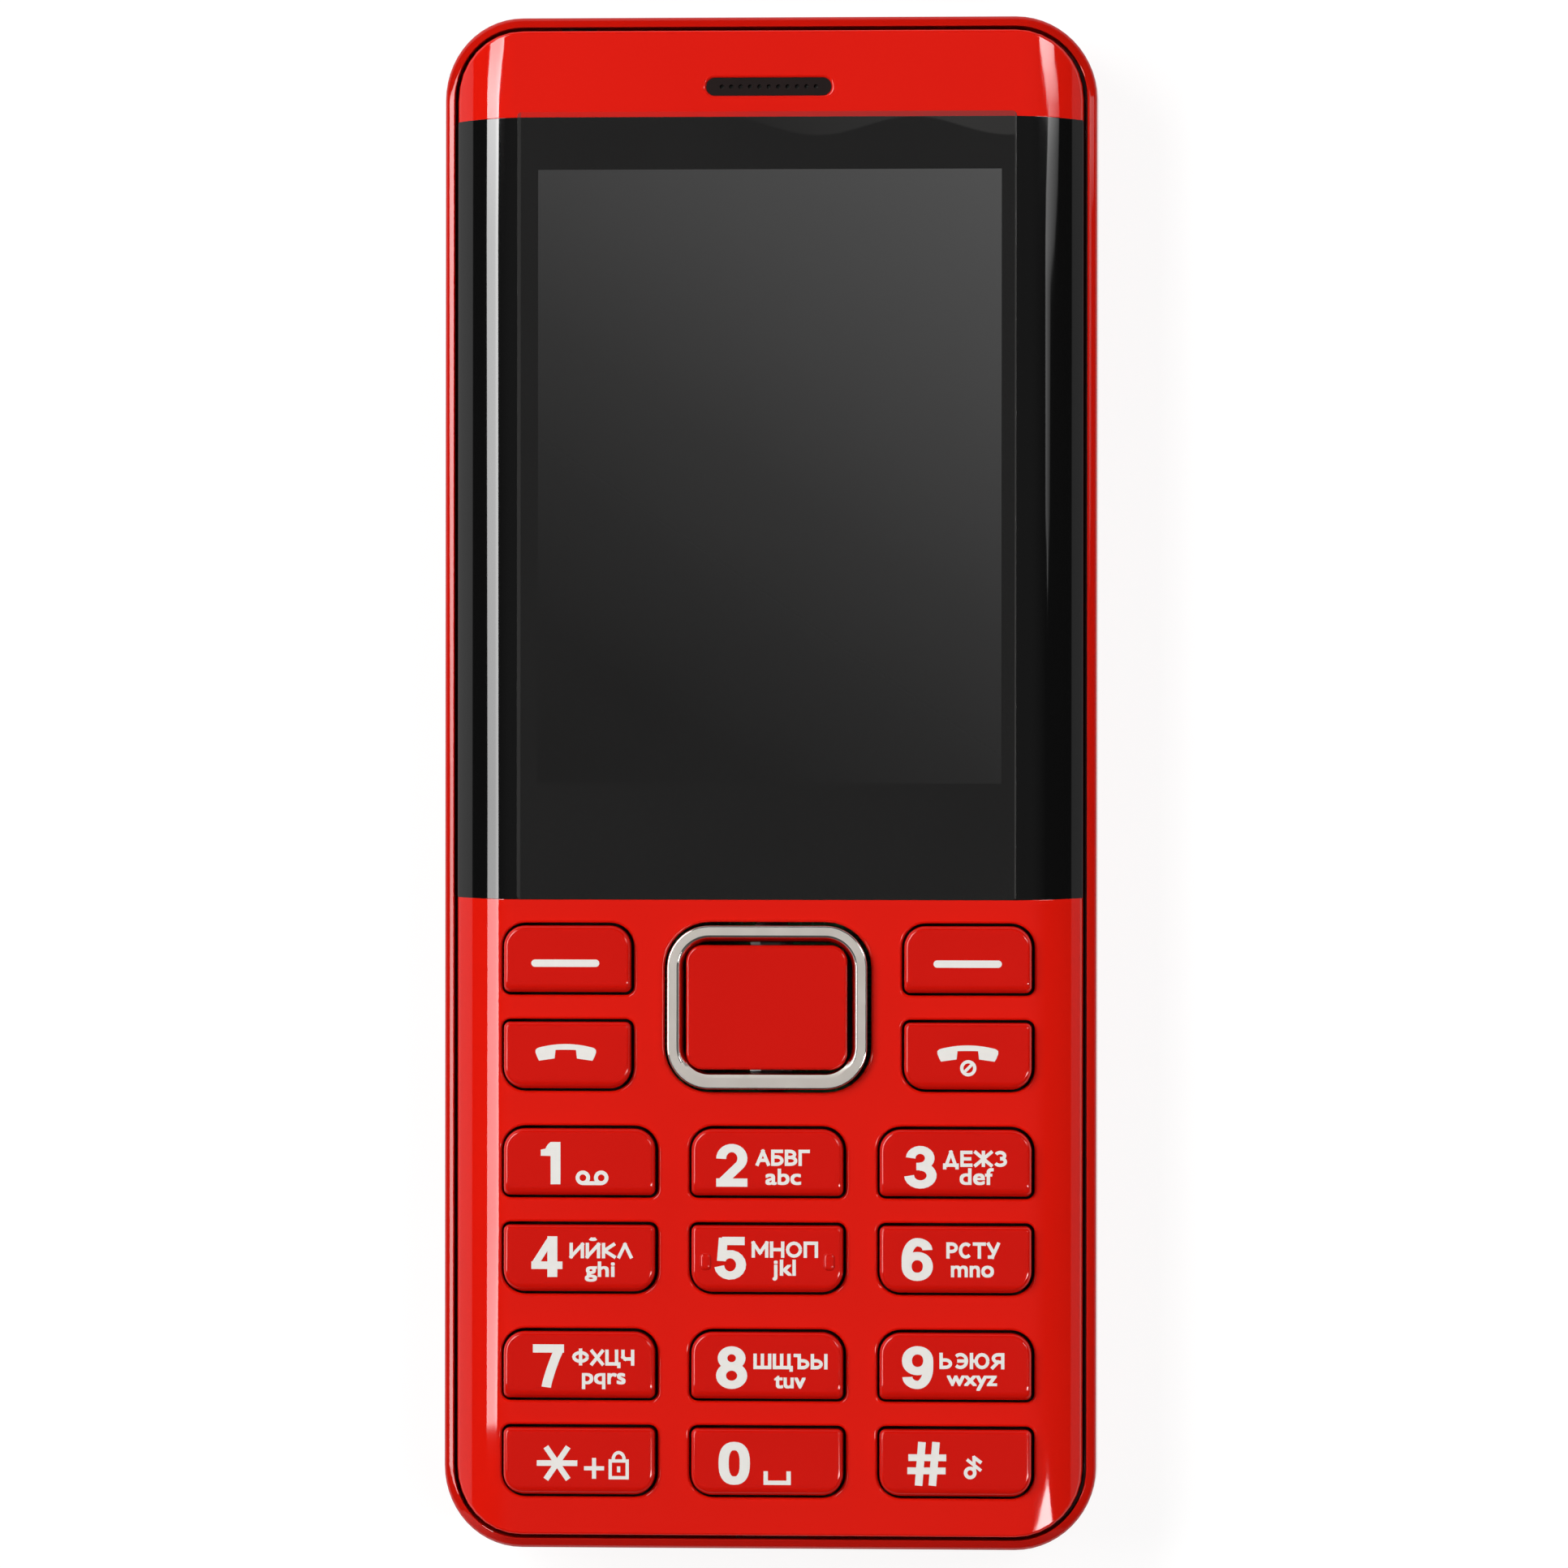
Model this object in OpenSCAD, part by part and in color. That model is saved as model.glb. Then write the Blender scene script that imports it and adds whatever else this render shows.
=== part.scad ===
// Candybar feature phone with a raised keypad, lying on its back.
// +X is to the right of the keypad, +Y towards the earpiece, +Z out of the front.
// Millimetres. The origin is the middle of the flat rear face.

/* [Front panel] */
// Plain band above the window
top_band = 8; // [7:0.1:12]
// Length of the dark window
window_l = 72.3; // [70:0.1:90]
// Plain strip between the window and the first keys
window_gap = 2.35; // [1.5:0.05:6]
// Plain band below the last row of keys
bottom_band = 3.75; // [3:0.05:10]
// Plain band beside the outer keys
side_band = 4.55; // [4:0.05:9]
// Corner radius of the front panel
panel_r = 6.2; // [5:0.1:9]
// Width over which each long edge rolls down
roll_w = 5.6; // [4:0.1:6.4]
// Radius of the rolled long edges
roll_r = 8; // [7.8:0.1:12]
// Wall of the front housing
shell_t = 1.4; // [1.2:0.05:1.8]
// Width of the groove between panel and rim
groove = 0.35; // [0.25:0.05:0.6]
// Width of the rim round the panel
rim_w = 0.9; // [0.7:0.05:1.4]
// Depth of the rim below the panel
rim_drop = 0.25; // [0.1:0.05:0.6]
// Rounding of the rim at the two ends
rim_end_r = 1.2; // [0.6:0.1:2]

/* [Window and display] */
// Thickness of the window at its middle
window_t = 1.2; // [0.9:0.05:1.6]
// Ledge of the housing under the window
ledge_t = 0.8; // [0.6:0.05:1.2]
// Width of the picture on the display
display_w = 42.7; // [36:0.1:46]
// Length of the picture on the display
display_l = 56.9; // [48:0.1:58]
// Thickness of the display module
display_t = 2.3; // [1.8:0.1:3.2]
// Metal border of the display module
display_border = 1.9; // [1.2:0.1:2.4]
// From the top edge of the window to the picture
display_top = 4.8; // [4:0.1:6]
// Thickness of the foam gasket
gasket_t = 0.4; // [0.3:0.05:0.8]
// Width of the foam gasket
gasket_w = 1.2; // [0.8:0.1:1.6]
// Width of the clear protective film
film_w = 46.2; // [40:0.1:46.6]
// Thickness of the film
film_t = 0.1; // [0.08:0.01:0.2]
// How far the film laps over the upper band
film_lap = 0.5; // [0.1:0.1:1.5]

/* [Keys] */
// Width of a number key
num_w = 14.1; // [12:0.05:16]
// Length of every key along the phone
key_l = 6.25; // [5.5:0.05:8]
// Gap between the columns of number keys
col_gap = 3.3; // [2.4:0.05:5]
// Gap between the two rows of a pair
row_gap = 2.65; // [2:0.05:4]
// Gap between one pair of rows and the next
pair_gap = 3.6; // [3.5:0.05:6]
// Width of the soft, call and end keys
soft_w = 11.85; // [9:0.05:13]
// Large corner radius of a key
key_r = 2; // [1:0.05:2.6]
// Small corner radius of a key
key_small_r = 0.6; // [0.3:0.05:0.9]
// Height of the keys above the panel
key_proud = 1; // [0.6:0.05:1.6]
// Width of the bevel round a key
key_bevel = 0.5; // [0.2:0.05:0.8]
// Height of the bevel round a key
key_bevel_h = 0.45; // [0.2:0.05:0.55]
// Gap round a key in its opening
key_gap = 0.25; // [0.2:0.01:0.35]
// Travel of a key
key_travel = 0.3; // [0.2:0.01:0.4]
// Width of the flange that holds a key in
flange_w = 0.5; // [0.4:0.05:0.7]
// Thickness of that flange
flange_t = 0.6; // [0.4:0.05:0.8]
// Radius of the stem under a key
stem_r = 1.2; // [0.8:0.05:1.5]
// Diameter of a metal contact dome
dome_d = 4; // [3:0.1:5]
// Height of a contact dome
dome_h = 0.3; // [0.2:0.05:0.4]
// Thickness of the silicone keypad sheet
mat_t = 0.6; // [0.4:0.05:0.8]
// Height of the pads on the silicone sheet
pad_h = 0.4; // [0.2:0.05:0.5]

/* [Navigation key] */
// Width of the chrome ring
ring_w = 18.6; // [17:0.1:20]
// Length of the chrome ring
ring_l = 15.1; // [14:0.1:15.6]
// Outer corner radius of the ring
ring_r = 3.9; // [2.5:0.1:5]
// Width of the ring's flat face
ring_band = 1.2; // [1:0.05:1.6]
// Height of the ring above the panel
ring_proud = 1.2; // [0.8:0.05:1.8]
// Gap round the ring in its opening
ring_gap = 0.35; // [0.3:0.01:0.5]
// Gap between the ring and the middle key
ok_gap = 0.58; // [0.4:0.01:0.8]
// Height of the middle key above the panel
ok_proud = 0.9; // [0.6:0.05:1.4]
// Length of the rocker plate under the ring
rocker_l = 8.6; // [7:0.1:9.4]
// Thickness of the rocker plate
rocker_t = 0.7; // [0.5:0.05:0.9]

/* [Earpiece] */
// Length of the earpiece slot
ear_w = 11.6; // [9:0.1:14]
// Height of the earpiece slot
ear_l = 1.65; // [1.2:0.05:2.4]
// From the top edge of the panel to the middle of the slot
ear_drop = 5.2; // [4.8:0.1:5.4]
// Spacing of the sound holes
ear_pitch = 0.87; // [0.6:0.01:1.2]
// Diameter of a sound hole
ear_hole_d = 0.4; // [0.3:0.05:0.5]
// Thickness of the slotted insert
ear_t = 0.9; // [0.6:0.05:1.2]
// Width of the receiver behind the slot
receiver_w = 13; // [10:0.5:15]
// Thickness of the receiver
receiver_t = 2.4; // [1.8:0.1:3]

/* [Board and chassis] */
// Thickness of the circuit board
board_t = 0.8; // [0.6:0.05:1.2]
// Room behind the board for its parts
parts_gap = 1.5; // [1.3:0.05:2.5]
// Thickness of the chassis plate
plate_t = 1; // [0.8:0.05:1.6]
// Wall of the chassis skirt
skirt_t = 1.4; // [1.2:0.05:1.8]
// Width of the ledge that carries the board
board_ledge = 1.8; // [1.6:0.1:2]
// Radius of a screw boss
boss_r = 1.2; // [1.1:0.05:1.25]
// Radius of a screw's shank
screw_r = 0.6; // [0.5:0.05:0.7]
// Radius of a screw's head
screw_head_r = 1.1; // [0.9:0.05:1.2]
// Height of a screw's head
screw_head_h = 0.7; // [0.5:0.05:1]
// Length of a screw's shank
screw_l = 5; // [4:0.1:5.4]
// Thickness of the shield cans
shield_t = 1.3; // [1:0.05:1.3]
// Width of the larger shield can
shield_w = 30; // [20:1:36]
// Length of the larger shield can
shield_l = 18; // [12:1:20]

/* [Rear] */
// Wall of the battery cover
cover_t = 1.1; // [0.9:0.05:1.4]
// Height of the cover's side walls
cover_h = 4.2; // [4:0.1:4.4]
// Rounding of the cover's rear edge
cover_edge_r = 3.6; // [2:0.1:3.8]
// Parting gap between cover and chassis
cover_gap = 0.2; // [0.15:0.01:0.3]
// Height of the tongue inside the cover's rim
tongue_h = 0.9; // [0.6:0.1:1.2]
// Thickness of that tongue
tongue_t = 0.8; // [0.6:0.05:1]
// Width of the battery
battery_w = 46; // [36:0.5:47]
// Length of the battery
battery_l = 60; // [50:0.5:62]
// Thickness of the battery
battery_t = 4.7; // [4.6:0.1:7]
// Thickness of the ribs round the battery
rib_t = 1; // [0.8:0.1:1.2]
// Depth of the antenna block and loudspeaker room below the battery
tail_room = 16; // [15:0.5:20]

/* [Sockets and modules] */
// Radius of the headphone socket's bore
jack_r = 1.8; // [1.76:0.01:1.85]
// Depth of the headphone socket's bore
jack_depth = 12.5; // [12:0.1:13]
// Width of the headphone socket
jack_w = 6.2; // [5.6:0.1:7]
// Height of the headphone socket
jack_h = 4.4; // [4.2:0.05:4.5]
// Radius of the headphone socket's nose
jack_nose_r = 2.3; // [2.2:0.05:2.35]
// Distance of the headphone socket from the middle
jack_x = 18; // [14:0.5:20]
// Width of the charging socket
usb_w = 7.5; // [7.4:0.1:7.6]
// Length of the charging socket
usb_l = 5.6; // [5:0.1:6]
// Height of the charging socket
usb_h = 2.6; // [2.5:0.05:2.7]
// Width of a card holder for a SIM card
sim_w = 16; // [15:0.5:17]
// Length of a card holder for a SIM card
sim_l = 17; // [15:0.5:18]
// Width of the memory card holder
memory_w = 14; // [13:0.5:15]
// Length of the memory card holder
memory_l = 15; // [13:0.5:16]
// Height of the card holders
holder_h = 2.3; // [1.9:0.1:2.4]
// Side of the camera module
camera_w = 7; // [6:0.5:8]
// Radius of the camera window
camera_window_r = 3.4; // [3:0.1:4]
// Radius of the torch lens
torch_r = 1.5; // [1:0.1:2]
// Distance of the torch from the camera
torch_x = 9; // [8:0.5:12]
// Width of the loudspeaker
speaker_w = 16; // [12:0.5:18]
// Length of the loudspeaker
speaker_l = 12; // [9:0.5:13]
// Thickness of the loudspeaker
speaker_t = 3.6; // [3:0.1:4.2]
// Radius of the vibration motor
motor_r = 2; // [1.6:0.1:2.1]
// Length of the vibration motor
motor_l = 8; // [6:0.5:10]
// Radius of the eccentric weight
weight_r = 2.1; // [1.6:0.1:2.2]
// Length of the eccentric weight
weight_l = 3.5; // [2.5:0.1:4.5]

/* [Hidden] */
$fn = 48;
// Small clearances and steps that several pieces share
fit = 0.1;
glue = 0.05;
slack = 0.3;
key_room = 0.2;
nav_room = 0.5;
cut = 1;
small_r = 0.4;

// Plan sizes of the panel and the body
panel_w = 3 * num_w + 2 * col_gap + 2 * side_band;
pair_l = 2 * key_l + row_gap;
panel_l = top_band + window_l + window_gap + 3 * pair_l + 2 * pair_gap + bottom_band;
body_w = panel_w + 2 * (groove + rim_w);
body_l = panel_l + 2 * (groove + rim_w);
body_r = panel_r + groove + rim_w;
flat_w = panel_w - 2 * roll_w;
inner_w = panel_w - 2 * shell_t;
inner_l = panel_l - 2 * shell_t;
inner_r = panel_r - shell_t;

// Heights of the stack from the rear face to the front
battery_z = cover_t + slack;
plate_z = battery_z + battery_t + fit;
plate_top = plate_z + plate_t;
board_z = plate_top + parts_gap;
board_top = board_z + board_t;
display_z = board_top + key_room;
gasket_z = display_z + display_t;
ledge_z = gasket_z + gasket_t;
window_z = ledge_z + ledge_t;
front_z = window_z + window_t;
shell_z = front_z - shell_t;
part_z = cover_h + cover_gap;
skirt_z = board_z + fit;

// Places along the phone, from the top of the panel down
window_top_y = panel_l / 2 - top_band;
window_y = window_top_y - window_l / 2;
window_low_y = window_top_y - window_l;
display_y = window_top_y - display_top - display_l / 2;
ear_y = panel_l / 2 - ear_drop;
ear_holes = floor((ear_w - ear_l) / ear_pitch);
receiver_l = top_band - 2 * shell_t - 2 * fit;
receiver_y = (window_top_y + panel_l / 2) / 2;
soft_y = window_low_y - window_gap - key_l / 2;
function row_y(row) = soft_y - row * (key_l + row_gap) - floor(row / 2) * (pair_gap - row_gap);
function pair_gap_y(pair) = (row_y(2 * pair - 1) + row_y(2 * pair)) / 2;
col_pitch = num_w + col_gap;
soft_x = col_pitch + (num_w - soft_w) / 2;
nav_y = (row_y(0) + row_y(1)) / 2;
pad_low_y = row_y(5) - key_l / 2 - flange_w;

// Heights of the keys and of what lies under them
flange_top = shell_z - key_room;
flange_z = flange_top - flange_t;
pad_top = flange_z - key_travel - fit;
mat_top = pad_top - pad_h;
mat_z = mat_top - mat_t;
stem_z = board_top + dome_h + key_travel + fit;
ring_flange_top = shell_z - nav_room;
ring_z = ring_flange_top - flange_t;
rocker_top = ring_z - slack - glue;
nub_z = board_top + dome_h + slack;
ok_w = ring_w - 2 * (ring_band + ok_gap);
ok_l = ring_l - 2 * (ring_band + ok_gap);
ok_r = max(ring_r - ring_band - 2 * ok_gap, key_small_r);
ok_z = ring_z + flange_t + key_travel + slack + fit;
nub_x = ring_w / 2 - stem_r - ring_band / 2;
nub_y = ring_l / 2 - stem_r - fit;

// Screws: one pair at the top and one in each gap between the pairs of rows
boss_x = inner_w / 2 - boss_r + slack;
screw_top_y = inner_l / 2 - inner_r;
screw_places = [for (y = [screw_top_y, pair_gap_y(1), pair_gap_y(2)]) for (s = [-1, 1]) [s * boss_x, y]];

// Board and the rooms cut into the chassis
board_w = inner_w - 2 * slack;
board_l = inner_l - 2 * slack;
board_r = inner_r - slack;
room_w = board_w - 2 * board_ledge;
room_l = board_l - 2 * board_ledge;
bay_w = body_w - 2 * skirt_t;
bay_l = body_l - 2 * skirt_t;
bay_r = body_r - skirt_t;

// Places on the rear side
battery_y = -body_l / 2 + skirt_t + tongue_t + tail_room + rib_t + slack + battery_l / 2;
battery_top_y = battery_y + battery_l / 2;
contact_w = 10;
contact_l = 3;
sim_y = battery_top_y + contact_l + 2 * rib_t + sim_l / 2;
sim_x = sim_w / 2 + rib_t;
memory_y = sim_y + sim_l / 2 + rib_t + memory_l / 2;
memory_x = -memory_w / 2 - rib_t;
motor_x = rib_t * 2 + motor_l / 2;
motor_y = memory_y;
motor_z = plate_z - weight_r - slack;
shaft_r = 0.4;
camera_y = body_l / 2 - skirt_t - tongue_t - 2 * rib_t - camera_w;
camera_z = battery_z + fit;
tail_y = -body_l / 2 + skirt_t + tongue_t + slack + tail_room / 2;
speaker_x = usb_w / 2 + rib_t + speaker_w / 2;
antenna_w = 19;
antenna_l = 12;
jack_z = part_z + slack + jack_nose_r + fit;
jack_end_y = inner_l / 2 - fit;
jack_l = jack_depth + rib_t - (body_l / 2 - jack_end_y) + small_r;
jack_mouth_y = body_l / 2 - small_r;
usb_y = -body_l / 2 + small_r + usb_l / 2;
usb_z = board_z - usb_h;
mic_offset = 6;
mic_x = usb_w / 2 + mic_offset;
mic_r = 1.8;
mic_h = 1.2;
mic_hole_r = 0.5;
mic_y = -board_l / 2 + board_ledge + mic_r;

// Rectangle with four round corners
module round_rect(w, l, r) {
    square([w - 2 * r, l], center = true);
    square([w, l - 2 * r], center = true);
    for (sx = [-1, 1])
        for (sy = [-1, 1])
            translate([sx * (w / 2 - r), sy * (l / 2 - r)])
                circle(r);
}

// Upright block with round corners, standing on height z
module round_block(w, l, r, z, h) {
    translate([0, 0, z])
        linear_extrude(h)
            round_rect(w, l, r);
}

// Everything under the front's rolled section, drawn in by a depth
module under_front(depth) {
    half = flat_w / 2;
    r = roll_r - depth;
    rotate([90, 0, 0])
        linear_extrude(body_l + 2 * cut, center = true) {
            translate([-half, 0])
                square([2 * half, front_z - depth]);
            translate([-half - r, 0])
                square([2 * (half + r), front_z - roll_r]);
            for (s = [-1, 1])
                translate([s * half, front_z - roll_r])
                    circle(r);
        }
}

// Everything under a section along the phone with round ends at the top
module under_ends(top, r) {
    rotate([90, 0, 90])
        linear_extrude(body_w + 2 * cut, center = true) {
            translate([-body_l / 2 + r, 0])
                square([body_l - 2 * r, top]);
            translate([-body_l / 2, 0])
                square([body_l, top - r]);
            for (s = [-1, 1])
                translate([s * (body_l / 2 - r), top - r])
                    circle(r);
        }
}

// Band of the phone between two places along it, full width and height
module band(low, high) {
    translate([-body_w / 2 - cut, low, -cut])
        cube([body_w + 2 * cut, high - low, front_z + 2 * cut]);
}

// Key outline: large corners on one long side, small ones on the other
module key_outline(w, l, r_up, r_low) {
    translate([-w / 2, -l / 2 + r_low])
        square([w, l - r_up - r_low]);
    translate([-w / 2 + r_up, 0])
        square([w - 2 * r_up, l / 2]);
    translate([-w / 2 + r_low, -l / 2])
        square([w - 2 * r_low, l / 2]);
    for (s = [-1, 1]) {
        translate([s * (w / 2 - r_up), l / 2 - r_up])
            circle(r_up);
        translate([s * (w / 2 - r_low), -l / 2 + r_low])
            circle(r_low);
    }
}

// Outline of the key in a row: upper rows of a pair have their large corners at the top
module row_outline(w, row, grow) {
    upper = row % 2 == 0;
    key_outline(w + 2 * grow, key_l + 2 * grow, (upper ? key_r : key_small_r) + grow,
        (upper ? key_small_r : key_r) + grow);
}

// Section of a bevelled cap, from height z to height top
module bevel_section(w, z, top, bevel, bevel_h) {
    polygon([[-w / 2, z], [w / 2, z], [w / 2, top - bevel_h], [w / 2 - bevel, top],
        [-w / 2 + bevel, top], [-w / 2, top - bevel_h]]);
}

// Cuts a cap to a bevel on all four sides
module bevelled(w, l, z, top, bevel, bevel_h) {
    intersection() {
        children();
        rotate([90, 0, 0])
            linear_extrude(l + 2 * cut, center = true)
                bevel_section(w, z, top, bevel, bevel_h);
        rotate([90, 0, 90])
            linear_extrude(w + 2 * cut, center = true)
                bevel_section(l, z, top, bevel, bevel_h);
    }
}

// Key with its bevelled cap, its flange under the housing and its stem over the dome
module key(x, row, w) {
    top = front_z + key_proud;
    translate([x, row_y(row), 0]) {
        bevelled(w, key_l, flange_z, top, key_bevel, key_bevel_h)
            translate([0, 0, flange_z])
                linear_extrude(top - flange_z)
                    row_outline(w, row, 0);
        translate([0, 0, flange_z])
            linear_extrude(flange_t)
                row_outline(w, row, flange_w);
        translate([0, 0, stem_z])
            cylinder(r = stem_r, h = flange_z - stem_z + glue);
    }
}

// Number key in a column from -1 to 1 and a row from 0 to 3
module number_key(column, row) {
    color("firebrick")
        key(column * col_pitch, row + 2, num_w);
}

// Soft, call or end key on one side, in the upper or lower row
module side_key(side, row) {
    color("firebrick")
        key(side * soft_x, row, soft_w);
}

// Every key's place as [x, row, width]
key_places = concat(
    [for (s = [-1, 1]) for (row = [0, 1]) [s * soft_x, row, soft_w]],
    [for (column = [-1, 0, 1]) for (row = [2:5]) [column * col_pitch, row, num_w]]);

// Slot with round ends, standing on height z
module slot_block(w, l, z, h) {
    translate([0, 0, z])
        linear_extrude(h) {
            square([w - l, l], center = true);
            for (s = [-1, 1])
                translate([s * (w - l) / 2, 0])
                    circle(l / 2);
        }
}

// Round hole or pin along the phone
module along_y(x, z, r, low, high) {
    translate([x, low, z])
        rotate([-90, 0, 0])
            cylinder(r = r, h = high - low);
}

// Room under the front housing's wall
module front_room() {
    intersection() {
        round_block(inner_w, inner_l, inner_r, 0, front_z);
        union() {
            under_front(window_t + ledge_t);
            intersection() {
                under_front(shell_t);
                union() {
                    band(-panel_l / 2, window_low_y - shell_t);
                    band(window_top_y + shell_t, panel_l / 2);
                }
            }
        }
    }
}

module front_housing() {
    color("red")
        difference() {
            union() {
                difference() {
                    intersection() {
                        round_block(panel_w, panel_l, panel_r, skirt_z, front_z - skirt_z);
                        under_front(0);
                    }
                    difference() {
                        band(window_low_y - glue, window_top_y + glue);
                        under_front(window_t);
                    }
                    front_room();
                }
                intersection() {
                    for (p = screw_places)
                        translate([p[0], p[1], skirt_z])
                            cylinder(r = boss_r, h = front_z - skirt_z);
                    under_front(shell_t / 2);
                }
            }
            for (p = screw_places)
                translate([p[0], p[1], 0])
                    cylinder(r = screw_r + glue, h = plate_z + screw_l + slack);
            for (k = key_places)
                translate([k[0], row_y(k[1]), shell_z - cut])
                    linear_extrude(shell_t + 2 * cut)
                        row_outline(k[2], k[1], key_gap);
            translate([0, nav_y, 0])
                round_block(ring_w + 2 * ring_gap, ring_l + 2 * ring_gap, ring_r + ring_gap, shell_z - cut,
                    shell_t + 2 * cut);
            translate([0, display_y, 0])
                round_block(display_w + gasket_w, display_l + gasket_w, small_r, ledge_z - cut,
                    ledge_t + 2 * cut);
            translate([0, ear_y, 0])
                slot_block(ear_w + 2 * glue, ear_l + 2 * glue, shell_z - cut, shell_t + 2 * cut);
            along_y(-jack_x, jack_z, jack_nose_r + fit, inner_l / 2 - cut, body_l / 2);
        }
}

module screen_window() {
    color("black")
        intersection() {
            difference() {
                under_front(0);
                under_front(window_t - glue);
            }
            translate([0, window_y, 0])
                translate([-panel_w / 2, -window_l / 2, skirt_z])
                    cube([panel_w, window_l, front_z]);
        }
}

module screen_film() {
    color("lightgray")
        translate([0, window_y + film_lap / 2, 0])
            round_block(film_w, window_l + film_lap, small_r, front_z, film_t);
}

module earpiece_grille() {
    color("black")
        translate([0, ear_y, 0])
            difference() {
                slot_block(ear_w, ear_l, front_z - key_room - ear_t, ear_t);
                for (i = [0:ear_holes - 1])
                    translate([(i - (ear_holes - 1) / 2) * ear_pitch, 0, 0])
                        cylinder(d = ear_hole_d, h = front_z);
            }
}

module earpiece_receiver() {
    color("dimgray")
        difference() {
            translate([0, receiver_y, 0])
                round_block(receiver_w, receiver_l, small_r, shell_z - fit - receiver_t, receiver_t);
            translate([0, ear_y, 0])
                slot_block(ear_w, ear_l, shell_z - fit - small_r, cut);
        }
}

module display_module() {
    w = display_w + 2 * display_border;
    l = display_l + 2 * display_border;
    color("slategray")
        translate([0, display_y, 0])
            round_block(w, l, small_r, display_z, display_t);
}

module display_gasket() {
    w = display_w + gasket_w / 2;
    l = display_l + gasket_w / 2;
    color("darkslategray")
        translate([0, display_y, 0])
            difference() {
                round_block(w + 2 * gasket_w, l + 2 * gasket_w, small_r, gasket_z, gasket_t);
                round_block(w, l, small_r, gasket_z - cut, gasket_t + 2 * cut);
            }
}

// Ribbon from the lower edge of the display down to its plug on the board
module display_flex() {
    flex_w = 12;
    flex_t = 0.15;
    plug_l = 2.4;
    plug_h = 0.9;
    edge_y = display_y - display_l / 2 - display_border;
    color("darkorange") {
        translate([-flex_w / 2, edge_y - plug_l - small_r, board_top + plug_h])
            cube([flex_w, plug_l + small_r, flex_t]);
        translate([-flex_w / 2, edge_y - plug_l - small_r, board_top])
            cube([flex_w, plug_l, plug_h]);
    }
}

module main_board() {
    jack_cut = jack_w + 2 * slack;
    color("darkgreen")
        difference() {
            round_block(board_w, board_l, board_r, board_z, board_t);
            for (p = screw_places)
                translate([p[0], p[1], 0])
                    cylinder(r = boss_r + slack, h = front_z);
            translate([-jack_x - jack_cut / 2, jack_end_y - jack_l - slack, board_z - cut])
                cube([jack_cut, jack_l + 2 * cut, board_t + 2 * cut]);
        }
}

// Two metal cans over the chips on the rear of the board
module shield_cans() {
    can_gap = 2;
    color("silver")
        for (s = [-1, 1])
            translate([0, battery_y + s * (shield_l + can_gap) / 2, 0])
                difference() {
                    round_block(shield_w, shield_l, small_r, board_z - shield_t, shield_t);
                    round_block(shield_w - small_r, shield_l - small_r, small_r / 2,
                        board_z - shield_t + key_room, shield_t);
                }
}

// Domes on the front of the board, one under each key and five under the navigation key
module key_domes() {
    nav_places = [[0, 0], [nub_x, 0], [-nub_x, 0], [0, nub_y], [0, -nub_y]];
    color("gold") {
        for (k = key_places)
            translate([k[0], row_y(k[1]), board_top])
                dome();
        for (p = nav_places)
            translate([p[0], nav_y + p[1], board_top])
                dome();
    }
}

// Shallow contact dome with sloping sides and a flat crown
module dome() {
    cylinder(d1 = dome_d, d2 = dome_d / 2, h = dome_h);
}

// Silicone sheet that stands on the board by its rim, with a pad under each key
module keypad_mat() {
    w = panel_w - 2 * side_band + flange_w;
    top_y = row_y(0) + key_l / 2 + flange_w;
    l = top_y - pad_low_y;
    rim = 0.6;
    nav_w = ring_w + 2 * (flange_w + slack);
    nav_l = ring_l + 2 * (flange_w + slack);
    color("gray")
        difference() {
            union() {
                translate([0, (top_y + pad_low_y) / 2, 0])
                    difference() {
                        round_block(w, l, cut, board_top, mat_top - board_top);
                        round_block(w - 2 * rim, l - 2 * rim, small_r, board_top - cut,
                            mat_z - board_top + cut);
                    }
                for (k = key_places)
                    translate([k[0], row_y(k[1]), mat_z])
                        round_block(k[2] - cut, key_l - cut, small_r, 0, pad_top - mat_z);
            }
            for (k = key_places)
                translate([k[0], row_y(k[1]), 0])
                    cylinder(r = stem_r + slack, h = front_z);
            translate([0, nav_y, 0])
                round_block(nav_w, nav_l, ring_r, board_top - cut, front_z);
        }
}

module softkey_left() {
    side_key(-1, 0);
}

module softkey_right() {
    side_key(1, 0);
}

module call_key() {
    side_key(-1, 1);
}

module end_key() {
    side_key(1, 1);
}

// Chrome ring, held in by its flange, with a leg over the upper and the lower dome
module nav_ring() {
    top = front_z + ring_proud;
    hole_w = ring_w - 2 * ring_band;
    hole_l = ring_l - 2 * ring_band;
    color("gainsboro")
        translate([0, nav_y, 0]) {
            difference() {
                union() {
                    bevelled(ring_w, ring_l, ring_z, top, key_room, key_room)
                        round_block(ring_w, ring_l, ring_r, ring_z, top - ring_z);
                    round_block(ring_w + 2 * flange_w, ring_l + 2 * flange_w, ring_r + flange_w, ring_z,
                        flange_t);
                }
                round_block(hole_w, hole_l, ring_r - ring_band, ring_z - cut, top);
            }
            for (s = [-1, 1])
                intersection() {
                    translate([0, s * nub_y, nub_z])
                        cylinder(r = stem_r, h = ring_z + flange_t - nub_z);
                    round_block(ring_w, ring_l, ring_r, nub_z, front_z);
                }
        }
}

// Plate under the ring that rocks to the sides, with a nub over the left and the right dome
module nav_rocker() {
    w = ring_w - ring_band;
    rocker_z = rocker_top - rocker_t;
    color("darkgray")
        translate([0, nav_y, 0]) {
            difference() {
                round_block(w, rocker_l, cut, rocker_z, rocker_t);
                cylinder(r = stem_r + 2 * slack, h = front_z);
            }
            for (s = [-1, 1])
                translate([s * nub_x, 0, nub_z])
                    cylinder(r = stem_r, h = rocker_z - nub_z + glue);
        }
}

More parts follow.
